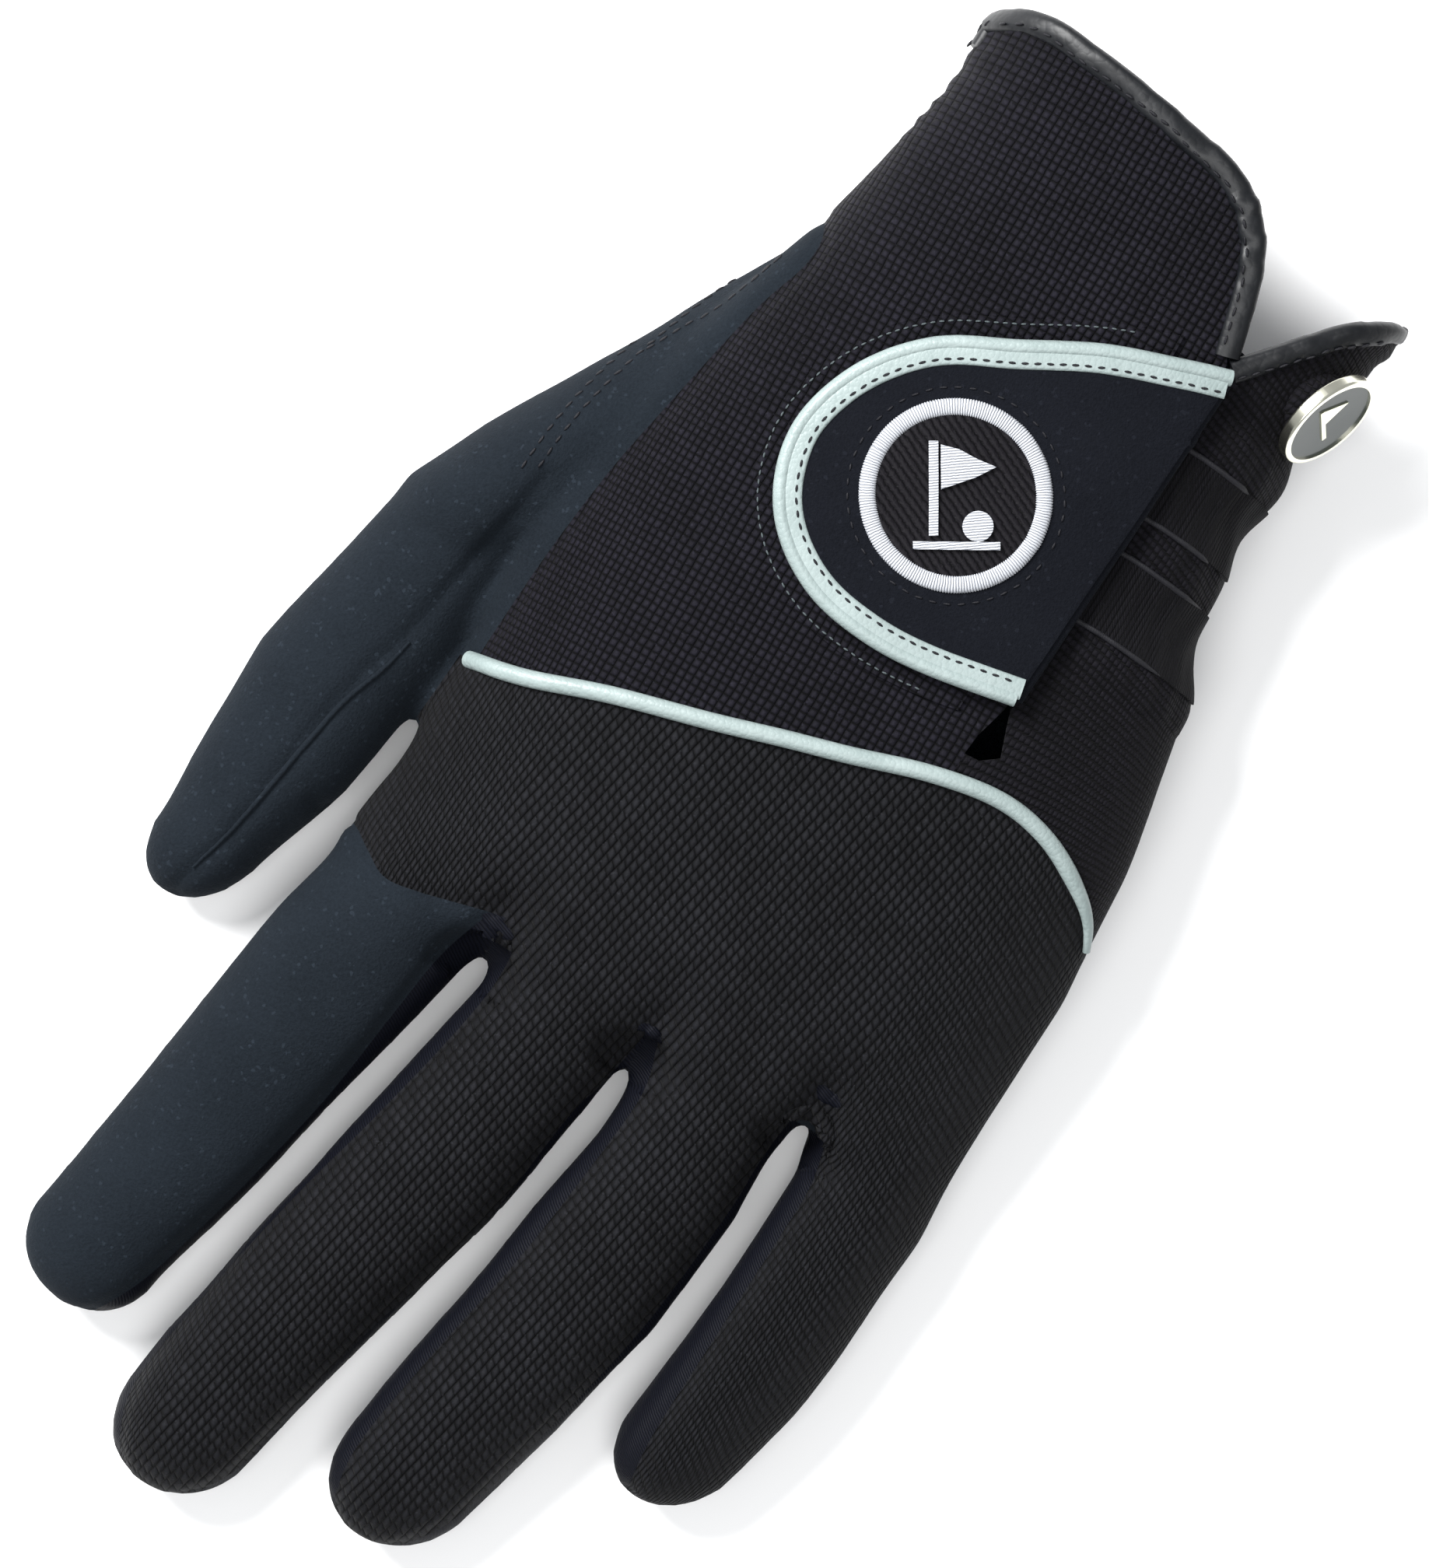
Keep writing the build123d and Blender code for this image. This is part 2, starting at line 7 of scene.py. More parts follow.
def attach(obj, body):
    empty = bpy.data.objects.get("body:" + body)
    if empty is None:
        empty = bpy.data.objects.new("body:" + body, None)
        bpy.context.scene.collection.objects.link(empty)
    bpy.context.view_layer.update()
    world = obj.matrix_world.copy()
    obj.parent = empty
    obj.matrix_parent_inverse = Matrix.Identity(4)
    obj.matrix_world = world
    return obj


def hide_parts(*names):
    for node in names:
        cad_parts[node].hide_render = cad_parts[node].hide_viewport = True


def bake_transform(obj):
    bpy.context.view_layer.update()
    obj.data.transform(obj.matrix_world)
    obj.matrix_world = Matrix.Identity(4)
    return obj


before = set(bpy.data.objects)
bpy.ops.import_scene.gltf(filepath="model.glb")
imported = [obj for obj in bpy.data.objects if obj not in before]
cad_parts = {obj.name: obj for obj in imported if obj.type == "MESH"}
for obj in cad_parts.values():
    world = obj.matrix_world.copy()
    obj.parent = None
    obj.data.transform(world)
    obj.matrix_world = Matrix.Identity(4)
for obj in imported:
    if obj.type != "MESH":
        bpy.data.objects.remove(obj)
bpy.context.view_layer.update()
mm = 0.001


def deselect():
    if bpy.context.object and bpy.context.object.mode != "OBJECT":
        bpy.ops.object.mode_set(mode="OBJECT")
    bpy.ops.object.select_all(action="DESELECT")


def pick(piece):
    deselect()
    piece.select_set(True)
    bpy.context.view_layer.objects.active = piece


def settle(piece):
    # every modifier on the piece becomes mesh
    pick(piece)
    for change in list(piece.modifiers):
        bpy.ops.object.modifier_apply(modifier=change.name)


def modify(piece, kind, **values):
    change = piece.modifiers.new(kind.lower(), kind)
    for name, value in values.items():
        setattr(change, name, value)
    return change


def copyOf(piece, name):
    twin = piece.copy()
    twin.data = piece.data.copy()
    twin.name = name
    bpy.context.collection.objects.link(twin)
    return twin


def smoothLine(points, steps=8):
    # a curve through the points, in millimetres
    line = []
    last = len(points) - 1
    for i in range(last):
        a, b, c, d = (Vector(points[max(0, min(last, i + k))]) for k in (-1, 0, 1, 2))
        for s in range(steps):
            t = s / steps
            line.append(0.5 * (2 * b + (c - a) * t + (2 * a - 5 * b + 4 * c - d) * t * t
                               + (3 * b - a - 3 * c + d) * t ** 3))
    line.append(Vector(points[-1]))
    return line


def sideways(line, distance):
    # the same line moved to its left by a distance
    moved = []
    for i, point in enumerate(line):
        along = (line[min(i + 1, len(line) - 1)] - line[max(i - 1, 0)]).normalized()
        moved.append(point + Vector((-along.y, along.x)) * distance)
    return moved


def ringTube(name, rings):
    # a circle is extruded once for each ring and laid on its points
    deselect()
    bpy.ops.mesh.primitive_circle_add(vertices=len(rings[0]), radius=0.01, fill_type="NGON")
    tube = bpy.context.active_object
    tube.name = name
    bpy.ops.object.mode_set(mode="EDIT")
    mesh = bmesh.from_edit_mesh(tube.data)
    for vertex, point in zip(mesh.verts, rings[0]):
        vertex.co = point
    for before, ring in zip(rings, rings[1:]):
        bpy.ops.mesh.extrude_region_move()
        mesh = bmesh.from_edit_mesh(tube.data)
        place = {tuple(round(c * 1e6) for c in a): b for a, b in zip(before, ring)}
        for vertex in mesh.verts:
            if vertex.select:
                vertex.co = place[tuple(round(c * 1e6) for c in vertex.co)]
    bmesh.update_edit_mesh(tube.data)
    bpy.ops.mesh.select_all(action="SELECT")
    bpy.ops.mesh.quads_convert_to_tris()
    bpy.ops.mesh.normals_make_consistent(inside=False)
    bpy.ops.object.mode_set(mode="OBJECT")
    return tube


def ovalRing(y, left, right, low, high, squareness=2.0, sides=40):
    # points round an oval that stands across the glove, squarer with a larger squareness
    ring = []
    for k in range(sides):
        a = 2 * math.pi * k / sides
        c, s = math.cos(a), math.sin(a)
        x = abs(c) ** (2 / squareness) * (1 if c > 0 else -1)
        z = abs(s) ** (2 / squareness) * (1 if s > 0 else -1)
        ring.append(Vector(((left + right) / 2 + x * (right - left) / 2, y,
                            (low + high) / 2 + z * (high - low) / 2)) * mm)
    return ring


# the blank: one soft form that every panel is cut from, in millimetres; a ring is y, left, right and height
handForm = {
    "rings": [(-47.5, -38, 44, 14), (-46, -46.2, 52.6, 20.5), (-42, -46.8, 52.8, 22), (-30, -44.9, 52.6, 25),
              (-10, -44.2, 53.2, 28), (10, -46.5, 51.4, 29.5), (30, -46.2, 47.6, 30), (50, -38.5, 41.4, 30.5),
              (66, -32.9, 41.6, 31.2), (78, -30, 41.4, 32), (92, -27.3, 45.6, 33), (112, -26.6, 47.5, 34)],
    "underside": -0.6,
    "squareness": 2.6,
    "sides": 56,
    "voxel": 1.05,
    "smoothing": 5,
}
thenarForm = {
    "rings": [(64, -34, -20, 12), (45, -43.8, -22, 21), (30, -52, -30, 23), (18, -58.8, -38, 23.5),
              (6, -64.6, -44.6, 23), (2, -64.8, -46, 22)],
    "underside": -0.4,
}
digitForms = {
    "index": {
        "rings": [(-38, -45.6, -21.2, 20.5), (-47, -46.9, -21.4, 20.5), (-55, -48.8, -23.2, 19.9),
                  (-70, -51.2, -26.4, 19), (-90, -53.8, -31.1, 17.8), (-100, -55.2, -33.5, 17),
                  (-110, -57, -36.2, 16)],
        "tip": (-46.6, -119.8),
    },
    "middle": {
        "rings": [(-38, -17.6, 5.2, 21), (-50, -18.7, 4.6, 20.8), (-60, -20.6, 3, 20), (-80, -25, -0.2, 19),
                  (-100, -28.8, -5.7, 18), (-115, -31.7, -9.4, 17), (-125, -32.8, -11.6, 16)],
        "tip": (-23, -136),
    },
    "ring": {
        "rings": [(-38, 5.8, 30, 20.5), (-50, 6.9, 29.4, 20), (-60, 6.3, 29.5, 19.5), (-80, 3, 27.8, 18.5),
                  (-100, -0.2, 23.2, 17.5), (-115, -2.6, 18.8, 16)],
        "tip": (6.8, -126.7),
    },
    "little": {
        "rings": [(-36, 32, 52.6, 19.6), (-50, 33.4, 53.4, 19), (-70, 32.6, 52.2, 18), (-80, 31.6, 51.3, 17),
                  (-91, 30.4, 48.4, 15.5)],
        "tip": (37.8, -101.8),
    },
    "thumb": {
        "rings": [(16, -59.6, -44, 22), (4, -64.6, -44.4, 21), (-8, -67.2, -44.6, 20),
                  (-17, -69.2, -45.2, 19.6), (-24, -70.5, -47, 19.6), (-38, -70.6, -49.5, 18),
                  (-51, -70.2, -53.8, 15)],
        "tip": (-64.2, -62.6),
    },
}
tipAngles = (18, 36, 52, 66, 78, 86)


def makeDigit(name, shape):
    # the rings of a digit, then smaller ones that round off its tip
    rings = [ovalRing(y, left, right, 0, high) for y, left, right, high in shape["rings"]]
    y, left, right, high = shape["rings"][-1]
    for angle in tipAngles:
        reach, shrink = math.sin(math.radians(angle)), math.cos(math.radians(angle))
        x = (left + right) / 2 + (shape["tip"][0] - (left + right) / 2) * reach
        half = (right - left) / 2 * shrink
        rings.append(ovalRing(y + (shape["tip"][1] - y) * reach, x - half, x + half,
                              high / 2 * (1 - shrink), high / 2 * (1 + shrink)))
    return ringTube(name, rings)


# lines on the glove, in plan
pipingLine = smoothLine([(-43.2, -11.8), (-35, -9.9), (-23.5, -5.8), (-10, -1.9), (0, 1.3), (9, 4), (20, 7.6),
                         (30, 9.4), (38, 8.3), (45, 4.9), (50, 0.6), (53.4, -7)])
suedeLine = smoothLine([(-42.6, -11.8), (-41.6, 5), (-40, 20), (-38.2, 30), (-34.2, 50), (-31.2, 60),
                        (-32, 66), (-37, 72), (-37, 84)])
cuffLine = smoothLine([(-33, 99.5), (-27, 102.4), (-20, 104.2), (-10, 103.2), (5, 101), (14, 98.6),
                       (19, 94.8), (22.3, 89), (25.4, 78)])
earLine = smoothLine([(27.2, 76.6), (32, 82), (37.2, 88), (42, 92), (48.4, 95.6)])
slitLeft = [(22.6, 12.6), (22.9, 15.6), (24.2, 20.4), (26.1, 77)]
slitRight = [(22.6, 12.4), (25.0, 12.6), (27.4, 14.4), (26.2, 17.6), (25.0, 21), (26.7, 77)]
indexRootLine = smoothLine([(-52, -40.5), (-46, -40), (-42, -42), (-38, -44), (-33, -43.4), (-24, -41),
                            (-20.3, -40.2)])
sideSeams = {
    "index": {"right": smoothLine([(-21.2, -38), (-23.4, -43), (-25.6, -50), (-27, -60), (-29, -75),
                                   (-32.2, -90), (-35, -101), (-38.5, -112), (-44, -122)])},
    "middle": {"left": smoothLine([(-18.6, -38), (-17.2, -43), (-17, -50), (-18.6, -60), (-22, -75),
                                   (-25.8, -90), (-30.2, -112), (-31.4, -126), (-26, -138)]),
               "right": smoothLine([(5.2, -40), (4.5, -47), (3.2, -54), (1.6, -60), (-1, -80), (-6.8, -100),
                                    (-10.3, -115), (-12.8, -127), (-20, -139)])},
    "ring": {"left": smoothLine([(5.6, -40), (7.2, -45), (8.8, -51), (8.4, -60), (6, -80), (2.2, -100),
                                 (0, -117), (3, -130)]),
             "right": smoothLine([(30.4, -38), (28.8, -44), (28, -52), (27.9, -60), (26, -80), (21.8, -100),
                                  (17.2, -117), (9.4, -129)])},
    "little": {"left": smoothLine([(31.9, -38), (34, -43), (35.8, -50), (35.8, -60), (35.2, -80), (35, -94),
                                   (36.6, -104)])},
}
thumbSeam = smoothLine([(-47, 16), (-48.4, 8), (-51, -5), (-52.4, -13), (-55, -21), (-56.6, -30), (-58, -40),
                        (-59.6, -50), (-62, -58), (-64, -68)])
# where each finger is parted from the next, and the thumb from the hand
gapLines = [
    [(-20.2, -30), (-20.2, -46), (-20.7, -50), (-22.5, -60), (-24.8, -70), (-27, -80), (-28.9, -90),
     (-31.2, -100), (-33.5, -110), (-36, -120), (-41, -146)],
    [(5.2, -30), (5.3, -50), (4.1, -60), (2.7, -70), (1.3, -80), (-0.9, -90), (-3.2, -100), (-5.2, -110),
     (-7, -122), (-9, -146)],
    [(30.8, -30), (30.8, -50), (30.5, -60), (30, -70), (28.7, -80), (27.6, -90), (27.4, -100), (27, -146)],
]
thumbGap = [(-45.1, 8), (-45.1, 0), (-44.9, -10), (-45.4, -18), (-46, -24), (-47.8, -38), (-50, -46),
            (-56, -62), (-60, -80)]
# the openings between the fingers, each from its closed end
crotches = [[(-19.8, -44.6), (-18.9, -48), (-19.6, -54), (-22.6, -54), (-21.6, -48)],
            [(5.4, -47.2), (6.1, -52), (5.6, -58), (3.7, -58), (4.7, -52)],
            [(31.1, -40.8), (32.5, -45), (33.1, -52), (32.8, -60), (29.3, -60), (29, -52), (29.7, -45)]]
rootY = -44  # the roots of the fingers
palmSeamHeight = 5  # where the backs and side walls are sewn to the suede of the palm

# cutting blocks reach past the glove, by different amounts so that no two faces lie in one plane
under, deep, over, higher, highest = -5, -9, 70, 75, 76
# the touching part of thumb and hand, where the cut keeps its cloth
thumbWeb = {"left": -50, "right": -44, "top": 7.5}
cutMaterial = bpy.data.materials.new("cutFace")
clothMaterial = bpy.data.materials.new("clothFace")

# grooves where two panels are sewn together
seamDents = {"depth": 0.55, "reach": 1.1, "floor": 8, "samples": 6}
dentLines = [thumbSeam, indexRootLine, suedeLine]
dentLines += [line for seams in sideSeams.values() for line in seams.values()]
# hollows between the knuckles: x, y, depth, half width, length towards the wrist
knuckleHollows = [(-20.2, -45, 3.2, 5.0, 15), (5.8, -45, 2.6, 5.0, 14), (31.6, -43, 2.8, 4.6, 14)]
creases = {"height": 0.35, "scale": 34}
# elastics draw the outer wrist in, and the knit between them puffs out
puckers = {"left": 27, "low": 30, "high": 74, "depth": 0.75, "middle": 50.2, "spacing": 8.4, "fade": 6,
           "ruffle": 0.16}
ripples = {"low": 80, "floor": 12, "height": 0.2, "closeness": 1.7, "fade": 6}


def makeBlank():
    # hand, ball of the thumb and digits are melted into one form, parted at the crotches and melted again
    squareness, sides = handForm["squareness"], handForm["sides"]
    handRings = [ovalRing(y, left, right, handForm["underside"], high, squareness, sides)
                 for y, left, right, high in handForm["rings"]]
    thenarRings = [ovalRing(y, left, right, thenarForm["underside"], high)
                   for y, left, right, high in thenarForm["rings"]]
    tubes = [ringTube("handForm", handRings), ringTube("thenarForm", thenarRings)]
    tubes += [makeDigit(name + "Form", shape) for name, shape in digitForms.items()]
    pick(tubes[0])
    for tube in tubes[1:]:
        tube.select_set(True)
    bpy.ops.object.join()
    blank = bpy.context.active_object
    blank.name = "gloveBlank"
    modify(blank, "REMESH", mode="VOXEL", voxel_size=handForm["voxel"] * mm)
    settle(blank)
    for outline in crotches:
        carve(blank, prism(outline, under, over), "DIFFERENCE")
    blank.data.materials.clear()
    modify(blank, "REMESH", mode="VOXEL", voxel_size=handForm["voxel"] * mm)
    modify(blank, "SMOOTH", factor=0.5, iterations=handForm["smoothing"])
    settle(blank)
    return blank


def knuckleHollow(x, y, z):
    # how far the cloth sinks between two knuckles, less and less towards the wrist
    push = 0
    for hx, hy, depth, half, length in knuckleHollows:
        if y < hy + length * 1.6 and y > hy - 6 and z > 10:
            fade = math.exp(-((max(0, y - hy)) / length * 1.5) ** 2)
            push -= depth * fade * math.exp(-((x - hx) / half) ** 2) * min(1, (z - 10) / 6)
    return push


def wristPucker(x, y, z):
    # waves between the elastics on the outer wrist, and fine ripples at the cuff
    push = 0
    if x > puckers["left"] and puckers["low"] < y < puckers["high"]:
        wave = math.cos((y - puckers["middle"]) / puckers["spacing"] * math.pi)
        push += puckers["depth"] * wave * min(1, (x - puckers["left"]) / puckers["fade"])
        push += puckers["ruffle"] * math.sin(x * 1.9 + 0.25 * y + 2 * noise.noise(Vector((x, y, z)) / 5))
    if y > ripples["low"] and z > ripples["floor"]:
        wave = math.sin((y + 3 * noise.noise(Vector((x, y, 0)) / 14)) * ripples["closeness"])
        push += ripples["height"] * wave * min(1, (y - ripples["low"]) / ripples["fade"])
    return push


def shapeBlank(blank):
    # seams, hollows, creases and puckers push the skin in or out
    samples = seamDents["samples"]
    dents = KDTree(sum(len(line) for line in dentLines) * samples)
    count = 0
    for line in dentLines:
        for a, b in zip(line, line[1:]):
            for step in range(samples):
                p = a.lerp(b, step / samples)
                dents.insert((p.x, p.y, 0), count)
                count += 1
    dents.balance()
    normals = [vertex.normal.copy() for vertex in blank.data.vertices]
    for vertex, normal in zip(blank.data.vertices, normals):
        x, y, z = vertex.co / mm
        push = knuckleHollow(x, y, z) + wristPucker(x, y, z)
        if z > seamDents["floor"]:
            away = dents.find((x, y, 0))[2]
            push -= seamDents["depth"] * math.exp(-(away / seamDents["reach"]) ** 2)
        push += creases["height"] * noise.noise(Vector((x, y * 0.7, z)) / creases["scale"] * 3)
        vertex.co += normal * push * mm
        vertex.co.z = max(vertex.co.z, 0)


def prism(points, low, high, webbed=False):
    # an outline raised into a block to cut with; webbed ones leave cloth between two digits where they touch
    deselect()
    bpy.ops.mesh.primitive_circle_add(vertices=len(points), radius=0.01, fill_type="NGON")
    block = bpy.context.active_object
    for vertex, point in zip(block.data.vertices, points):
        vertex.co = (point[0] * mm, point[1] * mm, low * mm)
    bpy.ops.object.mode_set(mode="EDIT")
    bpy.ops.mesh.select_all(action="SELECT")
    bpy.ops.mesh.extrude_region_move(TRANSFORM_OT_translate={"value": (0, 0, (high - low) * mm)})
    bpy.ops.mesh.select_all(action="SELECT")
    bpy.ops.mesh.quads_convert_to_tris()
    bpy.ops.mesh.normals_make_consistent(inside=False)
    bpy.ops.object.mode_set(mode="OBJECT")
    block.data.materials.append(cutMaterial)
    block.data.materials.append(clothMaterial)
    for face in block.data.polygons:
        x, y = face.center.x / mm, face.center.y / mm
        besideThumb = thumbWeb["left"] < x < thumbWeb["right"] and y < thumbWeb["top"]
        if webbed and abs(face.normal.z) < 0.5 and (y < rootY - 0.5 or besideThumb):
            face.material_index = 1
    return block


def carve(piece, block, operation="INTERSECT"):
    change = modify(piece, "BOOLEAN", operation=operation, object=block, solver="MANIFOLD")
    change.material_mode = "TRANSFER"
    settle(piece)
    bpy.data.objects.remove(block)
    return piece


def part(source, name, points, low, high, operation="INTERSECT"):
    return carve(copyOf(source, name), prism(points, low, high), operation)


def peel(piece):
    # leaves only the outside face of a carved piece
    mesh = bmesh.new()
    mesh.from_mesh(piece.data)
    cut = [i for i, m in enumerate(piece.data.materials) if m == cutMaterial]
    bmesh.ops.delete(mesh, geom=[f for f in mesh.faces if f.material_index in cut], context="FACES")
    bmesh.ops.dissolve_degenerate(mesh, dist=0.00002, edges=mesh.edges)
    mesh.to_mesh(piece.data)
    mesh.free()
    piece.data.materials.clear()
    return piece


def wall(piece, thickness, low=0.0, outward=False, rim=0.0):
    # an open skin gets its thickness, and its rim is eased
    if low:
        for vertex, normal in zip(piece.data.vertices, [v.normal.copy() for v in piece.data.vertices]):
            vertex.co += normal * low * mm
    modify(piece, "SOLIDIFY", thickness=thickness * mm, offset=1 if outward else -1, use_rim=True,
           use_even_offset=False)
    if rim:
        modify(piece, "BEVEL", width=rim * mm, segments=2, limit_method="ANGLE", angle_limit=math.radians(50),
               use_clamp_overlap=True)
    settle(piece)
    pick(piece)
    bpy.ops.object.shade_smooth_by_angle(angle=math.radians(50))
    return piece


digitRadius = 10.5
# how the pattern runs down the sides of the hand, and fans out on the outer wrist, in metres
drape = {"middle": 0.003, "flatHalf": 0.03, "turn": 0.012, "top": 0.029, "stretch": 0.8}
fan = {"slope": 0.42, "loss": 0.5, "low": 0.004, "height": 0.034, "left": 0.03}


def rememberPlace(piece, axis=None, fanned=False):
    # rest position, and a place counted across and along the cloth, both in metres
    rest = piece.data.attributes.new("restPlace", "FLOAT_VECTOR", "POINT")
    cloth = piece.data.attributes.new("clothPlace", "FLOAT_VECTOR", "POINT")
    restValues, clothValues = [], []
    for vertex in piece.data.vertices:
        p = vertex.co
        restValues += p[:]
        if axis:
            start, end = (Vector(a) * mm for a in axis)
            along = (end - start).normalized()
            across = Vector((-along.y, along.x, 0))
            x, z = (p - start).dot(across), p.z - start.z
            clothValues += (-math.atan2(x, z) * digitRadius * mm, (p - start).dot(along), 0)
        else:
            aside = p.x - drape["middle"]
            side = min(1, max(0, (abs(aside) - drape["flatHalf"]) / drape["turn"]))
            fall = max(0, drape["top"] - p.z) * drape["stretch"] * side
            spread = min(1, max(0, (p.y - fan["low"]) / fan["height"]))
            slope = fan["slope"] - fan["loss"] * spread if fanned else 0
            clothValues += (p.x + math.copysign(fall, aside), p.y - slope * (p.x - fan["left"]), 0)
    rest.data.foreach_set("vector", restValues)
    cloth.data.foreach_set("vector", clothValues)


def rememberRing(piece, centre, radius):
    # the place on a ring is counted round it, one face at a time, so that its two ends meet cleanly
    mesh = piece.data
    rest = mesh.attributes.new("restPlace", "FLOAT_VECTOR", "POINT")
    rest.data.foreach_set("vector", [value for vertex in mesh.vertices for value in vertex.co])
    cloth = mesh.attributes.new("clothPlace", "FLOAT_VECTOR", "CORNER")
    middle = Vector((centre[0], centre[1], 0)) * mm
    for face in mesh.polygons:
        out = face.center - middle
        facing = math.atan2(out.y, out.x)
        for corner in face.loop_indices:
            p = mesh.vertices[mesh.loops[corner].vertex_index].co - middle
            turn = (math.atan2(p.y, p.x) - facing + math.pi) % (2 * math.pi) - math.pi
            cloth.data[corner].vector = ((facing + turn) * radius * mm, math.hypot(p.x, p.y), 0)


def mount(piece, body, nodes, material, ends=None):
    # the piece gets its finish; without ends it is attached to its body, and with ends, where it would start
    # and stop bending, it is left unattached
    if "restPlace" not in piece.data.attributes:
        rememberPlace(piece)
    piece.data.materials.clear()
    piece.data.materials.append(material)
    if ends:
        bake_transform(piece)
    else:
        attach(piece, body)
    if nodes:
        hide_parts(*nodes)
    return piece


# finishes
def node(tree, kind, links=(), **values):
    made = tree.nodes.new(kind)
    for name, value in values.items():
        setattr(made, name, value)
    for name, value in dict(links).items():
        if isinstance(value, bpy.types.NodeSocket):
            tree.links.new(value, made.inputs[name])
        else:
            made.inputs[name].default_value = value
    return made


def calc(tree, operation, a, b=0.0, c=0.0, clamp=False):
    made = node(tree, "ShaderNodeMath", {0: a, 1: b, 2: c}, operation=operation, use_clamp=clamp)
    return made.outputs[0]


def group(name, inputs, outputs):
    tree = bpy.data.node_groups.new(name, "ShaderNodeTree")
    for label, kind, value in inputs:
        socket = tree.interface.new_socket(name=label, in_out="INPUT", socket_type=kind)
        if value is not None:
            socket.default_value = value
    for label, kind in outputs:
        tree.interface.new_socket(name=label, in_out="OUTPUT", socket_type=kind)
    return tree, tree.nodes.new("NodeGroupInput").outputs, tree.nodes.new("NodeGroupOutput").inputs


def makeKnitGroup():
    # loops of yarn in columns: a height and the dark gaps between loops; the knit finishes darken their
    # colour with this height, as painted shade in the gaps
    tree, given, out = group("knitLoops", [
        ("Place", "NodeSocketVector", None), ("Across", "NodeSocketFloat", 0.0012),
        ("Along", "NodeSocketFloat", 0.002), ("Stagger", "NodeSocketFloat", 0.5),
        ("Slant", "NodeSocketFloat", 0.0), ("Wander", "NodeSocketFloat", 0.25),
        ("Lean", "NodeSocketFloat", 0.0), ("Side Depth", "NodeSocketFloat", 1.0),
        ("End Depth", "NodeSocketFloat", 1.0)],
        [("Height", "NodeSocketFloat"), ("Gap", "NodeSocketFloat"), ("Shade", "NodeSocketFloat")])
    drift = node(tree, "ShaderNodeTexNoise", {"Vector": given["Place"], "Scale": 260.0, "Detail": 1.0})
    bend = calc(tree, "MULTIPLY", calc(tree, "SUBTRACT", drift.outputs["Fac"], 0.5), given["Wander"])
    split = node(tree, "ShaderNodeSeparateXYZ", {0: given["Place"]})
    leaning = calc(tree, "ADD", split.outputs[0], calc(tree, "MULTIPLY", split.outputs[1], given["Lean"]))
    u = calc(tree, "ADD", calc(tree, "DIVIDE", leaning, given["Across"]), bend)
    column = calc(tree, "FLOOR", u)
    fx = calc(tree, "MULTIPLY", calc(tree, "SUBTRACT", calc(tree, "FRACT", u), 0.5), 2.0)
    v = calc(tree, "ADD", calc(tree, "DIVIDE", split.outputs[1], given["Along"]),
             calc(tree, "MULTIPLY", column, given["Stagger"]))
    v = calc(tree, "ADD", v, calc(tree, "MULTIPLY", fx, given["Slant"]))
    v = calc(tree, "ADD", v, bend)
    fy = calc(tree, "MULTIPLY", calc(tree, "SUBTRACT", calc(tree, "FRACT", v), 0.5), 2.0)
    side = calc(tree, "MULTIPLY", calc(tree, "POWER", calc(tree, "ABSOLUTE", fx), 2.0), given["Side Depth"])
    side = calc(tree, "SUBTRACT", 1.0, side, clamp=True)
    ends = calc(tree, "MULTIPLY", calc(tree, "POWER", calc(tree, "ABSOLUTE", fy), 2.6), given["End Depth"])
    ends = calc(tree, "SUBTRACT", 1.0, ends, clamp=True)
    height = calc(tree, "SQRT", calc(tree, "MULTIPLY", side, ends))
    gap = calc(tree, "SUBTRACT", 1.0, calc(tree, "MULTIPLY", height, 2.2), clamp=True)
    cell = node(tree, "ShaderNodeCombineXYZ", {0: column, 1: calc(tree, "FLOOR", v), 2: 0.0})
    tone = node(tree, "ShaderNodeTexWhiteNoise", {"Vector": cell.outputs[0]})
    for name, value in (("Height", height), ("Gap", gap), ("Shade", tone.outputs["Value"])):
        tree.links.new(value, out[name])
    return tree


def makeNapGroup():
    # brushed fibres: a fine height, a speckle and a slow change of tone
    tree, given, out = group("brushedNap", [
        ("Place", "NodeSocketVector", None), ("Fineness", "NodeSocketFloat", 2600.0),
        ("Patches", "NodeSocketFloat", 90.0)],
        [("Height", "NodeSocketFloat"), ("Speck", "NodeSocketFloat"), ("Tone", "NodeSocketFloat")])
    fine = node(tree, "ShaderNodeTexNoise", {"Vector": given["Place"], "Scale": given["Fineness"],
                                             "Detail": 3.0, "Roughness": 0.7})
    slow = node(tree, "ShaderNodeTexNoise", {"Vector": given["Place"], "Scale": given["Patches"],
                                             "Detail": 3.0})
    specks = node(tree, "ShaderNodeTexVoronoi", {"Vector": given["Place"], "Scale": given["Fineness"]})
    speck = calc(tree, "GREATER_THAN", node(tree, "ShaderNodeSeparateColor",
                                            {0: specks.outputs["Color"]}).outputs[0], 0.975)
    for name, value in (("Height", fine.outputs["Fac"]), ("Speck", speck), ("Tone", slow.outputs["Fac"])):
        tree.links.new(value, out[name])
    return tree


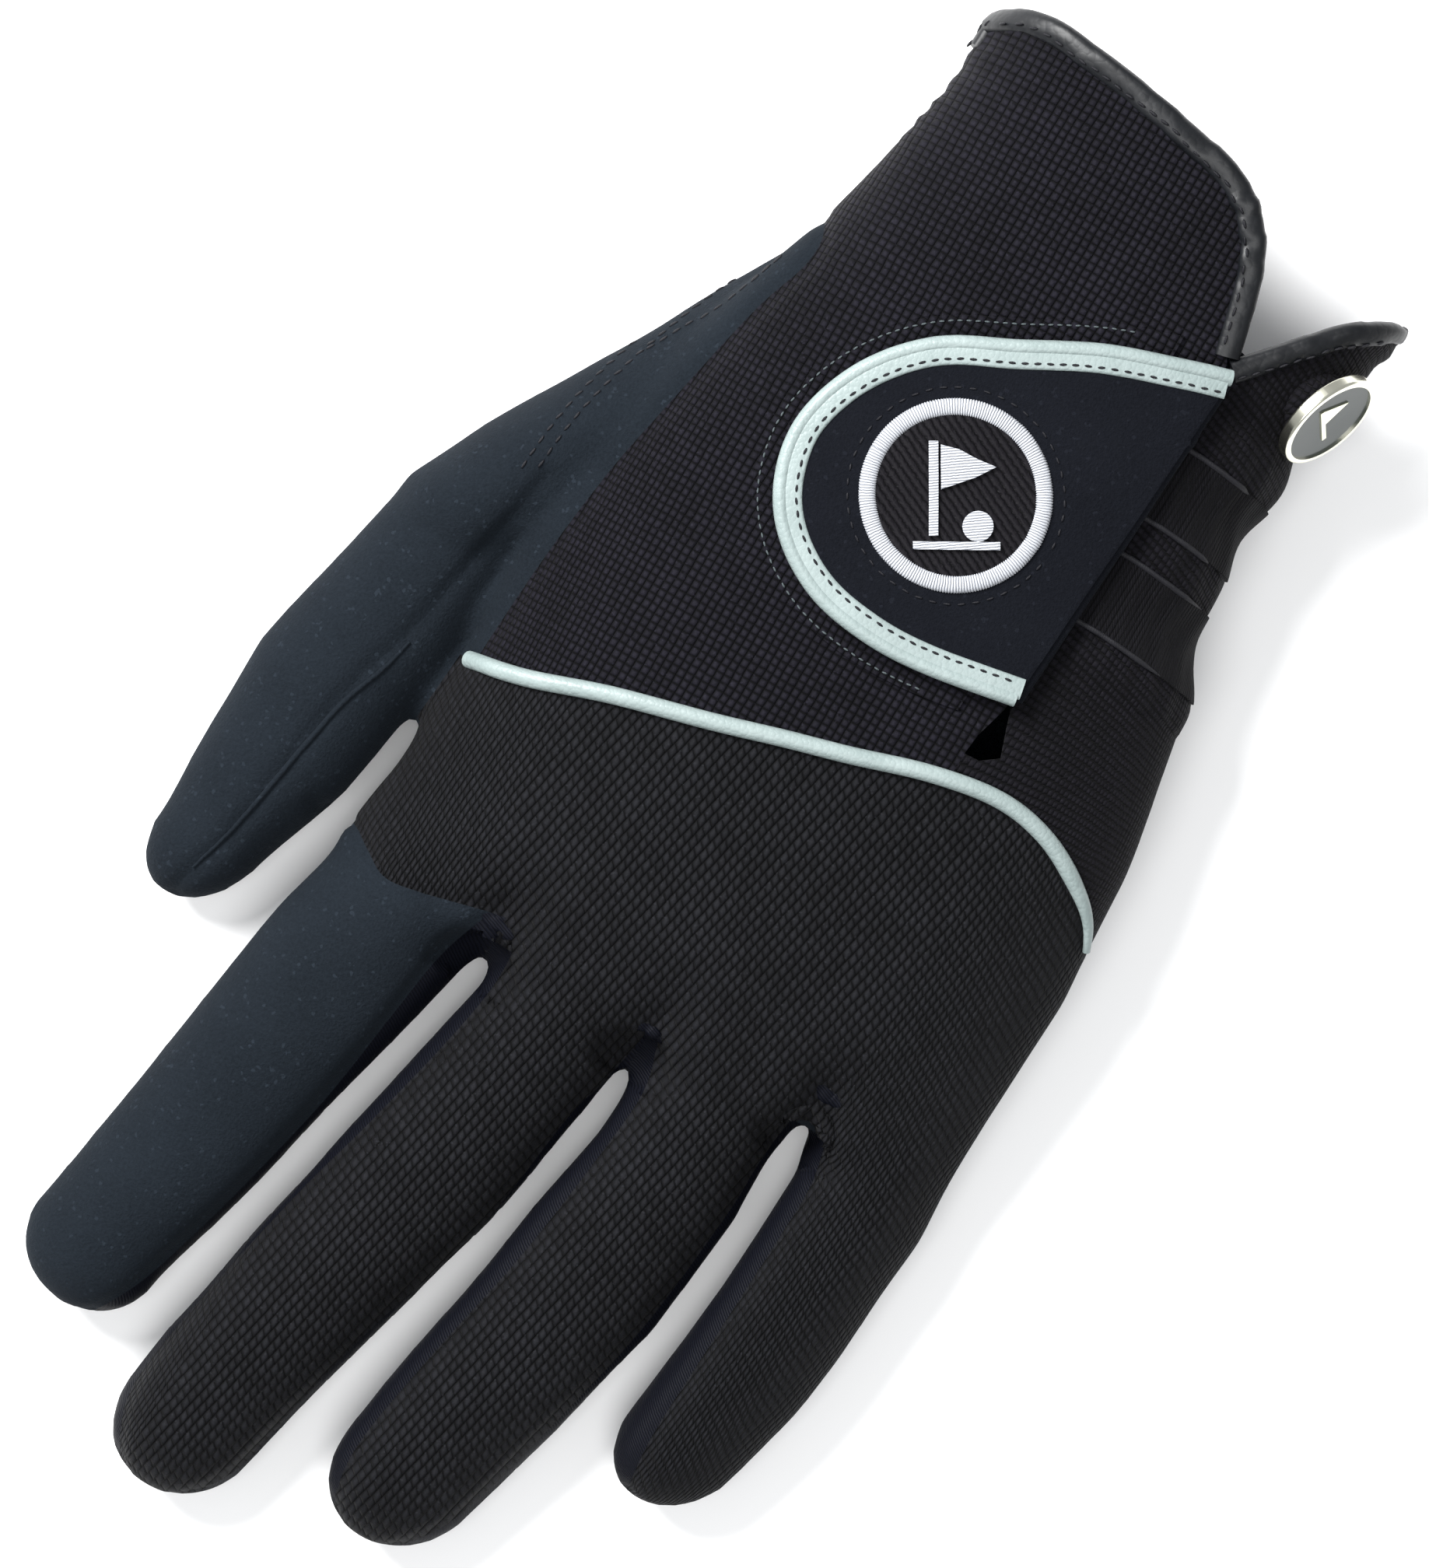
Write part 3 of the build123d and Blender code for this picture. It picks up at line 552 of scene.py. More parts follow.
def makeThreadGroup():
    # threads laid side by side: a height and the painted shade between them
    tree, given, out = group("laidThreads", [
        ("Place", "NodeSocketVector", None), ("Spacing", "NodeSocketFloat", 0.0004),
        ("Turn", "NodeSocketFloat", 0.0)],
        [("Height", "NodeSocketFloat"), ("Painted Shade", "NodeSocketFloat")])
    split = node(tree, "ShaderNodeSeparateXYZ", {0: given["Place"]})
    line = calc(tree, "ADD", calc(tree, "MULTIPLY", split.outputs[0], calc(tree, "COSINE", given["Turn"])),
                calc(tree, "MULTIPLY", split.outputs[1], calc(tree, "SINE", given["Turn"])))
    rough = node(tree, "ShaderNodeTexNoise", {"Vector": given["Place"], "Scale": 1500.0, "Detail": 2.0})
    line = calc(tree, "ADD", calc(tree, "DIVIDE", line, given["Spacing"]),
                calc(tree, "MULTIPLY", rough.outputs["Fac"], 0.5))
    wave = calc(tree, "ABSOLUTE", calc(tree, "SUBTRACT", calc(tree, "FRACT", line), 0.5))
    height = calc(tree, "POWER", calc(tree, "MULTIPLY", wave, 2.0), 2.0)
    height = calc(tree, "SUBTRACT", 1.0, height, clamp=True)
    # painted shade: the grooves between threads take the dark colour
    paintedShade = calc(tree, "SUBTRACT", 1.0, calc(tree, "MULTIPLY", height, 1.7), clamp=True)
    tree.links.new(height, out["Height"])
    tree.links.new(paintedShade, out["Painted Shade"])
    return tree


def makeGrainGroup():
    # leather pebble
    tree, given, out = group("leatherGrain", [
        ("Place", "NodeSocketVector", None), ("Size", "NodeSocketFloat", 1400.0)],
        [("Height", "NodeSocketFloat"), ("Crease", "NodeSocketFloat"), ("Tone", "NodeSocketFloat")])
    pebble = node(tree, "ShaderNodeTexVoronoi", {"Vector": given["Place"], "Scale": given["Size"]})
    slow = node(tree, "ShaderNodeTexNoise", {"Vector": given["Place"], "Scale": 240.0, "Detail": 4.0})
    crease = calc(tree, "MULTIPLY", calc(tree, "SUBTRACT", pebble.outputs["Distance"], 0.35), 1.6, clamp=True)
    tree.links.new(calc(tree, "SUBTRACT", 1.0, crease), out["Height"])
    tree.links.new(crease, out["Crease"])
    tree.links.new(slow.outputs["Fac"], out["Tone"])
    return tree


knitGroup, napGroup = makeKnitGroup(), makeNapGroup()
threadGroup, grainGroup = makeThreadGroup(), makeGrainGroup()


def finish(name, **plain):
    material = bpy.data.materials.new(name)
    material.use_nodes = True
    tree = material.node_tree
    shader = tree.nodes["Principled BSDF"]
    for label, value in plain.items():
        shader.inputs[label.replace("_", " ")].default_value = value
    return material, tree, shader


def useGroup(tree, kind, place, **values):
    made = node(tree, "ShaderNodeGroup", node_tree=kind)
    tree.links.new(place, made.inputs["Place"])
    for label, value in values.items():
        made.inputs[label.replace("_", " ")].default_value = value
    return made


def attribute(tree, name):
    return node(tree, "ShaderNodeAttribute", attribute_name=name).outputs["Vector"]


def blendColour(tree, amount, dark, light):
    made = node(tree, "ShaderNodeMix", data_type="RGBA")
    tree.links.new(amount, made.inputs["Factor"])
    made.inputs["A"].default_value = (*dark, 1)
    made.inputs["B"].default_value = (*light, 1)
    return made.outputs["Result"]


def bumped(tree, shader, height, depth):
    made = node(tree, "ShaderNodeBump", {"Height": height, "Distance": depth * mm, "Strength": 1.0})
    tree.links.new(made.outputs[0], shader.inputs["Normal"])


def knitFinish(name, across, along, stagger, slant, depth, dark, light, wander=0.25, sides=1.0, ends=1.0,
               lean=0.0):
    material, tree, shader = finish(name, Roughness=0.7, Sheen_Weight=0.015, Sheen_Roughness=0.5)
    shader.inputs["Specular IOR Level"].default_value = 0.07
    loops = useGroup(tree, knitGroup, attribute(tree, "clothPlace"), Across=across * mm, Along=along * mm,
                     Stagger=stagger, Slant=slant, Wander=wander, Side_Depth=sides, End_Depth=ends,
                     Lean=lean)
    fibres = useGroup(tree, napGroup, attribute(tree, "restPlace"), Fineness=3800.0, Patches=60.0)
    tone = calc(tree, "ADD", calc(tree, "MULTIPLY", loops.outputs["Shade"], 0.3),
                calc(tree, "MULTIPLY", fibres.outputs["Tone"], 0.7))
    tone = calc(tree, "ADD", tone, calc(tree, "MULTIPLY", fibres.outputs["Height"], 0.5))
    # the colour falls to the dark colour towards the edges of each loop: painted shade in the gaps between
    # loops
    tone = calc(tree, "MULTIPLY", calc(tree, "POWER", loops.outputs["Height"], 1.6), tone)
    tone = calc(tree, "ADD", tone, calc(tree, "MULTIPLY", fibres.outputs["Speck"], 0.5), clamp=True)
    tree.links.new(blendColour(tree, tone, dark, light), shader.inputs["Base Color"])
    fuzz = calc(tree, "MULTIPLY", fibres.outputs["Height"], 0.25)
    bumped(tree, shader, calc(tree, "ADD", loops.outputs["Height"], fuzz), depth)
    return material


def suedeFinish(name, dark, light, sheen):
    material, tree, shader = finish(name, Roughness=0.9, Sheen_Weight=sheen, Sheen_Roughness=0.45)
    shader.inputs["Specular IOR Level"].default_value = 0.05
    shader.inputs["Sheen Tint"].default_value = (0.75, 0.87, 1.0, 1)
    nap = useGroup(tree, napGroup, attribute(tree, "restPlace"), Fineness=2300.0, Patches=75.0)
    amount = calc(tree, "ADD", calc(tree, "MULTIPLY", nap.outputs["Height"], 0.75),
                  calc(tree, "MULTIPLY", nap.outputs["Tone"], 0.35), clamp=True)
    amount = calc(tree, "ADD", amount, calc(tree, "MULTIPLY", nap.outputs["Speck"], 0.6), clamp=True)
    tree.links.new(blendColour(tree, amount, dark, light), shader.inputs["Base Color"])
    bumped(tree, shader, nap.outputs["Height"], 0.22)
    return material


def threadFinish(name, place, spacing, turn, depth, dark, light, roughness=0.55, shine=0.3):
    material, tree, shader = finish(name, Roughness=roughness)
    shader.inputs["Specular IOR Level"].default_value = shine
    threads = useGroup(tree, threadGroup, attribute(tree, place), Spacing=spacing * mm, Turn=turn)
    # the dark colour fills the space between threads as painted shade, the light colour is the threads
    # themselves
    tree.links.new(blendColour(tree, threads.outputs["Painted Shade"], light, dark), shader.inputs["Base Color"])
    bumped(tree, shader, threads.outputs["Height"], depth)
    return material


def leatherFinish(name, dark, light, size, depth, roughness):
    material, tree, shader = finish(name, Roughness=roughness, Coat_Weight=0.06, Coat_Roughness=0.35)
    shader.inputs["Specular IOR Level"].default_value = 0.3
    grain = useGroup(tree, grainGroup, attribute(tree, "restPlace"), Size=size)
    tree.links.new(blendColour(tree, grain.outputs["Tone"], dark, light), shader.inputs["Base Color"])
    worn = calc(tree, "ADD", roughness - 0.08, calc(tree, "MULTIPLY", grain.outputs["Tone"], 0.2))
    tree.links.new(worn, shader.inputs["Roughness"])
    bumped(tree, shader, grain.outputs["Height"], depth)
    return material


def plainFinish(name, colour, roughness, metallic, size=900.0, depth=0.002):
    # smooth hard material with fine handling marks, for pieces that keep their CAD mesh
    material, tree, shader = finish(name, Metallic=metallic)
    place = node(tree, "ShaderNodeTexCoord").outputs["Object"]
    grain = useGroup(tree, grainGroup, place, Size=size)
    lighter = tuple(min(1, c * 1.25 + 0.004) for c in colour)
    tree.links.new(blendColour(tree, grain.outputs["Tone"], colour, lighter), shader.inputs["Base Color"])
    tree.links.new(calc(tree, "ADD", roughness - 0.04, calc(tree, "MULTIPLY", grain.outputs["Tone"], 0.1)),
                   shader.inputs["Roughness"])
    bumped(tree, shader, grain.outputs["Height"], depth)
    return material


# lengths in the finishes are in millimetres, and colours are linear; the dark colour of a thread finish is
# painted shade between the threads, and that of a knit is partly painted shade in the gaps between loops
finishes = {
    "suede": suedeFinish("suede", dark=(0.0018, 0.0026, 0.0036), light=(0.0135, 0.018, 0.024), sheen=0.02),
    "tabSuede": suedeFinish("tabSuede", dark=(0.0012, 0.0014, 0.0022), light=(0.0075, 0.0085, 0.012),
                            sheen=0.012),
    "knuckleKnit": knitFinish("knuckleKnit", across=1.22, along=1.4, stagger=0.3, slant=0.3, depth=0.5,
                              dark=(0.0002, 0.0002, 0.0003), light=(0.0115, 0.0118, 0.0142), wander=0.22,
                              ends=0.9, lean=-0.22),
    "meshKnit": knitFinish("meshKnit", across=1.15, along=1.15, stagger=0.0, slant=0.0, depth=0.5,
                           dark=(0.0002, 0.0002, 0.0004), light=(0.0105, 0.0098, 0.015), wander=0.35),
    "cordKnit": knitFinish("cordKnit", across=0.85, along=1.2, stagger=0.15, slant=0.0, depth=0.65,
                           dark=(0.0002, 0.0002, 0.0003), light=(0.0072, 0.0066, 0.0095), wander=0.3,
                           sides=0.45),
    "lycra": threadFinish("lycra", "clothPlace", spacing=0.42, turn=1.2, depth=0.06,
                          dark=(0.0004, 0.0004, 0.0007), light=(0.003, 0.0035, 0.0065), roughness=0.6,
                          shine=0.08),
    "elastic": knitFinish("elastic", across=0.75, along=0.7, stagger=0.5, slant=0.9, depth=0.2,
                          dark=(0.0004, 0.0004, 0.0006), light=(0.0055, 0.0052, 0.007), ends=0.7),
    "paleLeather": leatherFinish("paleLeather", dark=(0.18, 0.225, 0.22), light=(0.265, 0.315, 0.31),
                                 size=1700.0, depth=0.05, roughness=0.4),
    "blackLeather": leatherFinish("blackLeather", dark=(0.0016, 0.002, 0.0027), light=(0.006, 0.007, 0.009),
                                  size=900.0, depth=0.04, roughness=0.42),
    "blackThread": threadFinish("blackThread", "restPlace", spacing=0.16, turn=0.6, depth=0.03,
                                dark=(0.001, 0.001, 0.0015), light=(0.01, 0.01, 0.013), roughness=0.5,
                                shine=0.2),
    "greyThread": threadFinish("greyThread", "restPlace", spacing=0.16, turn=0.6, depth=0.03,
                               dark=(0.01, 0.013, 0.014), light=(0.07, 0.085, 0.09), roughness=0.5,
                               shine=0.2),
    "twill": threadFinish("twill", "restPlace", spacing=1.0, turn=1.15, depth=0.2,
                          dark=(0.0004, 0.0004, 0.0006), light=(0.0042, 0.0036, 0.0052), roughness=0.6,
                          shine=0.12),
    "whiteThread": threadFinish("whiteThread", "clothPlace", spacing=0.36, turn=0.0, depth=0.12,
                                dark=(0.07, 0.08, 0.11), light=(0.44, 0.455, 0.485)),
    "whiteFlag": threadFinish("whiteFlag", "restPlace", spacing=0.38, turn=2.2, depth=0.12,
                              dark=(0.07, 0.08, 0.11), light=(0.44, 0.455, 0.485)),
    "markerMetal": plainFinish("markerMetal", (0.75, 0.74, 0.62), roughness=0.22, metallic=1.0),
    "enamel": plainFinish("enamel", (0.02, 0.028, 0.026), roughness=0.22, metallic=0.0),
    "paleBrass": plainFinish("paleBrass", (0.85, 0.84, 0.62), roughness=0.25, metallic=1.0),
    "hookTape": plainFinish("hookTape", (0.003, 0.003, 0.004), roughness=0.8, metallic=0.0, size=1600.0,
                            depth=0.35),
}
print("finishes made")

# panels
blank = makeBlank()
shapeBlank(blank)
surface = BVHTree.FromObject(blank, bpy.context.evaluated_depsgraph_get())
print("blank made:", len(blank.data.polygons), "faces")
blank.data.materials.append(clothMaterial)
clothThickness = 1.1
zones = {
    "index": [(-49.5, -46), *[p for p in indexRootLine if p[0] > -50], *gapLines[0][1:], (-60, -146),
              (-60, -62), (-56, -62), (-50, -46.4)],
    "middle": [(-20.2, rootY), (5.3, rootY), *gapLines[1][1:], *reversed(gapLines[0][1:])],
    "ring": [(5.3, rootY), (30.8, rootY), *gapLines[2][1:], *reversed(gapLines[1][1:])],
    "little": [(30.8, rootY), (80, rootY), (80, -146), *reversed(gapLines[2][1:])],
    "thumb": [(-80, 8), *thumbGap, (-80, -80)],
}
digitParts = {name: carve(copyOf(blank, name + "Whole"), prism(outline, under, over, True), "INTERSECT")
              for name, outline in zones.items()}
handWhole = copyOf(blank, "handWhole")
for outline in zones.values():
    carve(handWhole, prism(outline, under, over, True), "DIFFERENCE")
print("digits cut out")

# where each digit would bend, from a point on the hand to one on the digit
digitBend = {
    "index": ((-33, -42, 8), (-35, -60, 8)), "middle": ((-7, -44, 8), (-8, -61, 8)),
    "ring": ((17, -44, 8), (17, -61, 8)), "little": ((42, -44, 8), (42.5, -60, 8)),
    "thumb": ((-55, 8, 8), (-57, -14, 8)),
}
axisHeight = 9
wholeDigit = [(-90, -30), (90, -30), (90, -150), (-90, -150)]
# a digit without a side wall has its back reach past its edge
openSide = {"left": [(-80, -36), (-80, -140)], "right": [(80, -36), (80, -110)]}


def sewFinger(name):
    # back, side walls and palm side of one finger
    whole = digitParts[name]
    y, rootLeft, rootRight = digitForms[name]["rings"][0][:3]
    axis = [((rootLeft + rootRight) / 2, y, axisHeight), (*digitForms[name]["tip"], axisHeight)]
    left, right = (list(sideSeams[name].get(edge, openSide[edge])) for edge in ("left", "right"))
    outline = [(left[0][0], -30), *left, *reversed(right), (right[0][0], -30)]
    back = part(whole, name + "Back", outline, palmSeamHeight, over)
    side = part(whole, name + "Sides", wholeDigit, palmSeamHeight, over)
    carve(side, prism(outline, palmSeamHeight - 1, higher), "DIFFERENCE")
    palm = part(whole, name + "Palm", wholeDigit, deep, palmSeamHeight)
    backLook, backSlot = ("suede", "suede") if name == "index" else ("knuckleKnit", "knit")
    sideNodes = [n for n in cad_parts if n.startswith(name + "_side_wall")]
    for piece, nodes, look, slotName in ((back, [name + "_back"], backLook, backSlot),
                                         (side, sideNodes, "lycra", "lycra"),
                                         (palm, [name + "_palm"], "suede", "suede")):
        wall(peel(piece), clothThickness)
        rememberPlace(piece, None if look == "knuckleKnit" else axis)
        mount(piece, name + "_finger", nodes, finishes[look], digitBend[name])
    bpy.data.objects.remove(whole)


for name in ("index", "middle", "ring", "little"):
    sewFinger(name)
thumbInner = [*thumbSeam, (-30, -68), (-30, 16)]
thumbAxis = [(-53, 12, 10), (-64, -61, 9)]
for cadName, pieceName, operation in (("thumb_inner_panel", "thumbInner", "INTERSECT"),
                                      ("thumb_outer_panel", "thumbOuter", "DIFFERENCE")):
    piece = part(digitParts["thumb"], pieceName, thumbInner, deep, over, operation)
    wall(peel(piece), clothThickness)
    rememberPlace(piece, thumbAxis)
    mount(piece, "thumb", [cadName], finishes["suede"], digitBend["thumb"])
bpy.data.objects.remove(digitParts["thumb"])
print("digits made")

# the back's panels end this high above the floor, and the palm's suede goes on below
panelFloor = {"back": 12, "outer": 4}
belowPiping = [*pipingLine, (90, -7), (90, -90), (-90, -90), (-90, -11.8)]
backArea = [*suedeLine, *cuffLine, (26.0, 77), *reversed(slitLeft[:-1]), (22.6, -30), (-42.6, -30)]
outerArea = [*earLine, (90, 99), (90, -40), (22.6, -40), *slitRight]
aboveThePalm = {"rightHalf": [(5, -60), (90, -60), (90, 140), (5, 140)],
                "cuff": [(-40, 84), (30, 84), (30, 140), (-40, 140)]}
palmCut = [(-60, 104.5), (-32, 98.8), (60, 74), (60, 130), (-60, 130)]
knuckle = part(handWhole, "knucklePanel", belowPiping, panelFloor["back"], over)
rest = part(handWhole, "rest", belowPiping, panelFloor["back"], over, "DIFFERENCE")
outerPanel = part(rest, "outerWristPanel", outerArea, panelFloor["outer"], over)
carve(outerPanel, prism(belowPiping, 3, higher), "DIFFERENCE")
backPanel = part(rest, "wristBackPanel", backArea, panelFloor["back"], over)
# the corners of the cuff are trimmed where they turn down the sides, each as y and z, then x from and to
for panel, outline, left, right in ((outerPanel, [(77, 2), (99, 2), (99, 22), (95, 19)], 28, 60),
                                    (backPanel, [(97.6, 10), (108, 10), (108, 23), (101.5, 23)], -60, -22)):
    corner = prism(outline, left, right)
    corner.data.transform(Matrix(((0, 0, 1, 0), (1, 0, 0, 0), (0, 1, 0, 0), (0, 0, 0, 1))))
    carve(panel, corner, "DIFFERENCE")
palmPanel = part(rest, "palmPanel", backArea, panelFloor["back"], over, "DIFFERENCE")
outerCut = carve(prism(outerArea, panelFloor["outer"], higher), prism(belowPiping, 3, highest), "DIFFERENCE")
carve(palmPanel, outerCut, "DIFFERENCE")
for outline in aboveThePalm.values():
    carve(palmPanel, prism(outline, panelFloor["back"], higher), "DIFFERENCE")
carve(palmPanel, prism(palmCut, deep, higher), "DIFFERENCE")
for piece, cadName, look, slotName in ((knuckle, "knuckle_panel", "knuckleKnit", "knit"),
                                       (outerPanel, "outer_wrist_panel", "cordKnit", "knit"),
                                       (backPanel, "wrist_back_panel", "meshKnit", "knit"),
                                       (palmPanel, "palm_panel", "suede", "suede")):
    wall(peel(piece), clothThickness)
    rememberPlace(piece, fanned=piece == outerPanel)
    mount(piece, "hand", [cadName], finishes[look])
bpy.data.objects.remove(rest)
bpy.data.objects.remove(handWhole)
print("hand panels made")


# things laid on the cloth
def onCloth(x, y, lift=0.0):
    # the point of the cloth under a place in plan, and its outward direction
    hit, normal = surface.ray_cast(Vector((x * mm, y * mm, 0.09)), Vector((0, 0, -1)))[:2]
    if hit is None:
        hit, normal = surface.find_nearest(Vector((x * mm, y * mm, 0.02)))[:2]
    return hit + normal * lift * mm, normal


def evenly(line, spacing):
    # points along a line, the same distance apart
    points, left = [], 0.0
    for a, b in zip(line, line[1:]):
        length = (b - a).length
        while left < length:
            points.append(a.lerp(b, left / length))
            left += spacing
        left -= length
    return points


def sweep(name, line, lift, section, taper=None, closed=False):
    # a section, given across and up, is drawn along a line on the cloth
    rings = []
    count = len(line)
    path = [onCloth(p.x, p.y, 0) for p in line]
    for i, (point, normal) in enumerate(path):
        before = path[(i - 1) % count if closed else max(i - 1, 0)][0]
        after = path[(i + 1) % count if closed else min(i + 1, count - 1)][0]
        along = (after - before).normalized()
        across = along.cross(normal).normalized()
        size = taper(i / (count - 1)) if taper else 1
        rings.append([point + (across * a * size + normal * (lift + b * size)) * mm for a, b in section])
    if closed:  # the ends are merged below
        rings.append([c.copy() + Vector((0, 0, 1e-7)) for c in rings[0]])
    piece = ringTube(name, rings)
    if closed:
        pick(piece)
        bpy.ops.object.mode_set(mode="EDIT")
        bpy.ops.mesh.select_all(action="DESELECT")
        mesh = bmesh.from_edit_mesh(piece.data)
        for face in mesh.faces:
            if all(any((v.co - c).length < 3e-7 for c in rings[0]) for v in face.verts):
                face.select = True
        bmesh.update_edit_mesh(piece.data)
        bpy.ops.mesh.delete(type="FACE")
        bpy.ops.mesh.select_all(action="SELECT")
        bpy.ops.mesh.remove_doubles(threshold=1e-6)
        bpy.ops.object.mode_set(mode="OBJECT")
    pick(piece)
    bpy.ops.object.shade_smooth_by_angle(angle=math.radians(60))
    return piece


def roundSection(halfWidth, halfHeight, sides=12, squareness=2.0):
    # the outline of a cord or binding that is drawn along a line
    section = []
    for k in range(sides):
        a = 2 * math.pi * k / sides
        c, s = math.cos(a), math.sin(a)
        section.append((math.copysign(abs(c) ** (2 / squareness), c) * halfWidth,
                        math.copysign(abs(s) ** (2 / squareness), s) * halfHeight))
    return section


def thinning(start, loss):
    # full size, until the last stretch of the line
    return lambda t: 1 - loss * max(0, t - start) / (1 - start)


def swelling(edge):
    # small at both ends of the line
    return lambda t: 0.3 + 0.7 * math.sin(math.pi * (edge + (1 - 2 * edge) * t))


def patch(name, outline, low, top, rim=0.25, floorHeight=12):
    piece = part(blank, name, outline, floorHeight, over)
    return wall(peel(piece), top - low, low, outward=True, rim=rim)


def stitchRow(name, line, sizes, body, look="blackThread", ends=None):
    # one stitch is modelled, then copied along the line
    deselect()
    bpy.ops.mesh.primitive_uv_sphere_add(segments=8, ring_count=5, radius=1)
    pattern = bpy.context.active_object
    pattern.scale = (sizes["length"] / 2 * mm, sizes["radius"] * mm, sizes["radius"] * mm)
    bpy.ops.object.transform_apply(location=False, rotation=False, scale=True)
    bpy.ops.object.shade_smooth()
    places = evenly(line, sizes["spacing"])
    copies = []
    for i in range(len(places) - 1):
        middle = (places[i] + places[i + 1]) / 2
        point, normal = onCloth(middle.x, middle.y, sizes["lift"])
        step = places[i + 1] - places[i]
        along = Vector((step.x, step.y, 0))
        along = (along - normal * along.dot(normal)).normalized()
        across = normal.cross(along)
        along = (along + across * (0.08 * math.sin(i * 2.3))).normalized()
        turn = Matrix((along, normal.cross(along), normal)).transposed().to_4x4()
        stitch = copyOf(pattern, name)
        stitch.data.transform(Matrix.Translation(point) @ turn)
        copies.append(stitch)
    bpy.data.objects.remove(pattern)
    pick(copies[0])
    for stitch in copies[1:]:
        stitch.select_set(True)
    bpy.ops.object.join()
    row = bpy.context.active_object
    row.name = name
    return mount(row, body, [], finishes[look], ends)


tab = {
    "nose": [(46, 83), (36, 79.6), (26.6, 76.3), (20, 74), (10, 70.2), (0, 64.8), (-10, 59.2), (-17, 51),
             (-20.4, 41), (-19.1, 32), (-14.5, 25.2), (-7, 20.6), (2, 18.9), (12, 19.4), (24.2, 21.8),
             (36, 24.6), (46, 27)],
    "root": [(24.4, 21.6), (26.9, 76.8)],
    "bend": ((26.3, 49, 29), (17.5, 49, 29)),
    "panelInset": 1.4, "underside": 1.7, "top": 2.9, "rim": 0.3,
    "lipInset": 2.1, "lip": (1.5, 0.42, 14, 3.2),
    "rollInset": 0.6, "rollLift": 2.35, "roll": (1.15, 1.2, 16),
    "seam": [(24.7, 22.4), (25.8, 49), (26.8, 76.6)], "seamLift": 1.2, "seamRoll": (1.0, 1.3, 12, 2.4),
}
tabStitches = {"inset": 2.75, "lift": 3.3, "spacing": 1.75, "length": 1.15, "radius": 0.2}
loops = {"margin": 3.5, "right": 19, "low": 26, "high": 68, "top": 0.45, "rim": 0.2}
loopStitches = {"margin": 2.7, "right": 14, "lift": 0.5, "spacing": 1.25, "length": 0.85, "radius": 0.15}
noseLine = smoothLine(tab["nose"])


def rootAt(y):
    (x0, y0), (x1, y1) = tab["root"]
    return x0 + (y - y0) * (x1 - x0) / (y1 - y0)


def inTab(line):
    # keeps the part of a line that is left of the tab's root, and ends it on the root
    away = [p.x - rootAt(p.y) for p in line]
    kept = []
    for i in range(len(line) - 1):
        if away[i] < 0:
            kept.append(line[i])
        if away[i] * away[i + 1] < 0:
            kept.append(line[i].lerp(line[i + 1], away[i] / (away[i] - away[i + 1])))
    return kept


def tabOutline(inset):
    edge = inTab(sideways(noseLine, inset))
    low, high = edge[-1].y, edge[0].y
    return [*edge, Vector((rootAt(low), low + 0.1)), Vector((rootAt(high), high - 0.1))]


loopEdge = [p for p in sideways(noseLine, -loops["margin"]) if p.x < loops["right"]]
loopCorners = [Vector((loops["right"], loops["low"])), Vector((loops["right"], loops["high"]))]
loopPad = patch("loopPad", [*loopEdge, *loopCorners], 0.0, loops["top"], loops["rim"])
mount(loopPad, "hand", ["loop_pad"], finishes["meshKnit"])
loopSeam = [p for p in sideways(noseLine, -loopStitches["margin"]) if p.x < loopStitches["right"]]
stitchRow("loopPadStitches", loopSeam, loopStitches, "hand", "greyThread")
tabPanel = patch("tabPanel", tabOutline(tab["panelInset"]), tab["underside"], tab["top"], tab["rim"])
mount(tabPanel, "closure_tab", ["closure_tab"], finishes["tabSuede"], tab["bend"])
tabLip = sweep("tabPipingLip", inTab(sideways(noseLine, tab["lipInset"])), tab["top"],
               roundSection(*tab["lip"]))
mount(tabLip, "closure_tab", [], finishes["paleLeather"], tab["bend"])
tabRoll = sweep("tabPipingRoll", inTab(sideways(noseLine, tab["rollInset"])), tab["rollLift"],
                roundSection(*tab["roll"]))
mount(tabRoll, "closure_tab", ["tab_piping"], finishes["paleLeather"], tab["bend"])
stitchRow("tabPipingStitches", inTab(sideways(noseLine, tabStitches["inset"])), tabStitches, "closure_tab",
          ends=tab["bend"])
seamLine = evenly([Vector(p) for p in tab["seam"]], 1.6)
tabSeam = sweep("tabRootSeam", seamLine, tab["seamLift"], roundSection(*tab["seamRoll"]))
mount(tabSeam, "hand", ["tab_hinge_seam"], finishes["tabSuede"])
print("tab made")

# embroidered badge; the emblem's shapes stand upright once it is turned
badge = {"centre": (3.1, 42.2), "tilt": 31, "radius": 13.4, "ring": 2.5, "ringHeight": 0.75, "threads": 224,
         "twill": 11.6, "underside": 2.9, "twillTop": 3.15, "emblemTop": 3.75}
badgeStitches = {"radiusOfRow": 14.9, "lift": 2.95, "spacing": 2.0, "length": 1.2, "radius": 0.17}
ball = {"x": 3.0, "y": -4.3, "radius": 2.1, "corners": 20}
emblemShapes = {
    "emblemFlag": [(-2.0, 6.9), (0.4, 6.3), (2.8, 5.0), (5.4, 3.9), (2.6, 2.5), (-2.0, 0.9)],
    "emblemPole": [(-3.6, 7.4), (-2.3, 7.4), (-2.3, -5.6), (-3.6, -5.6)],
    "emblemBall": [(ball["x"] + ball["radius"] * math.cos(a * 0.314),
                    ball["y"] + ball["radius"] * math.sin(a * 0.314)) for a in range(ball["corners"])],
    "emblemGround": [(-5.8, -6.4), (-5.8, -7.5), (6.0, -7.5), (6.0, -6.4)],
}


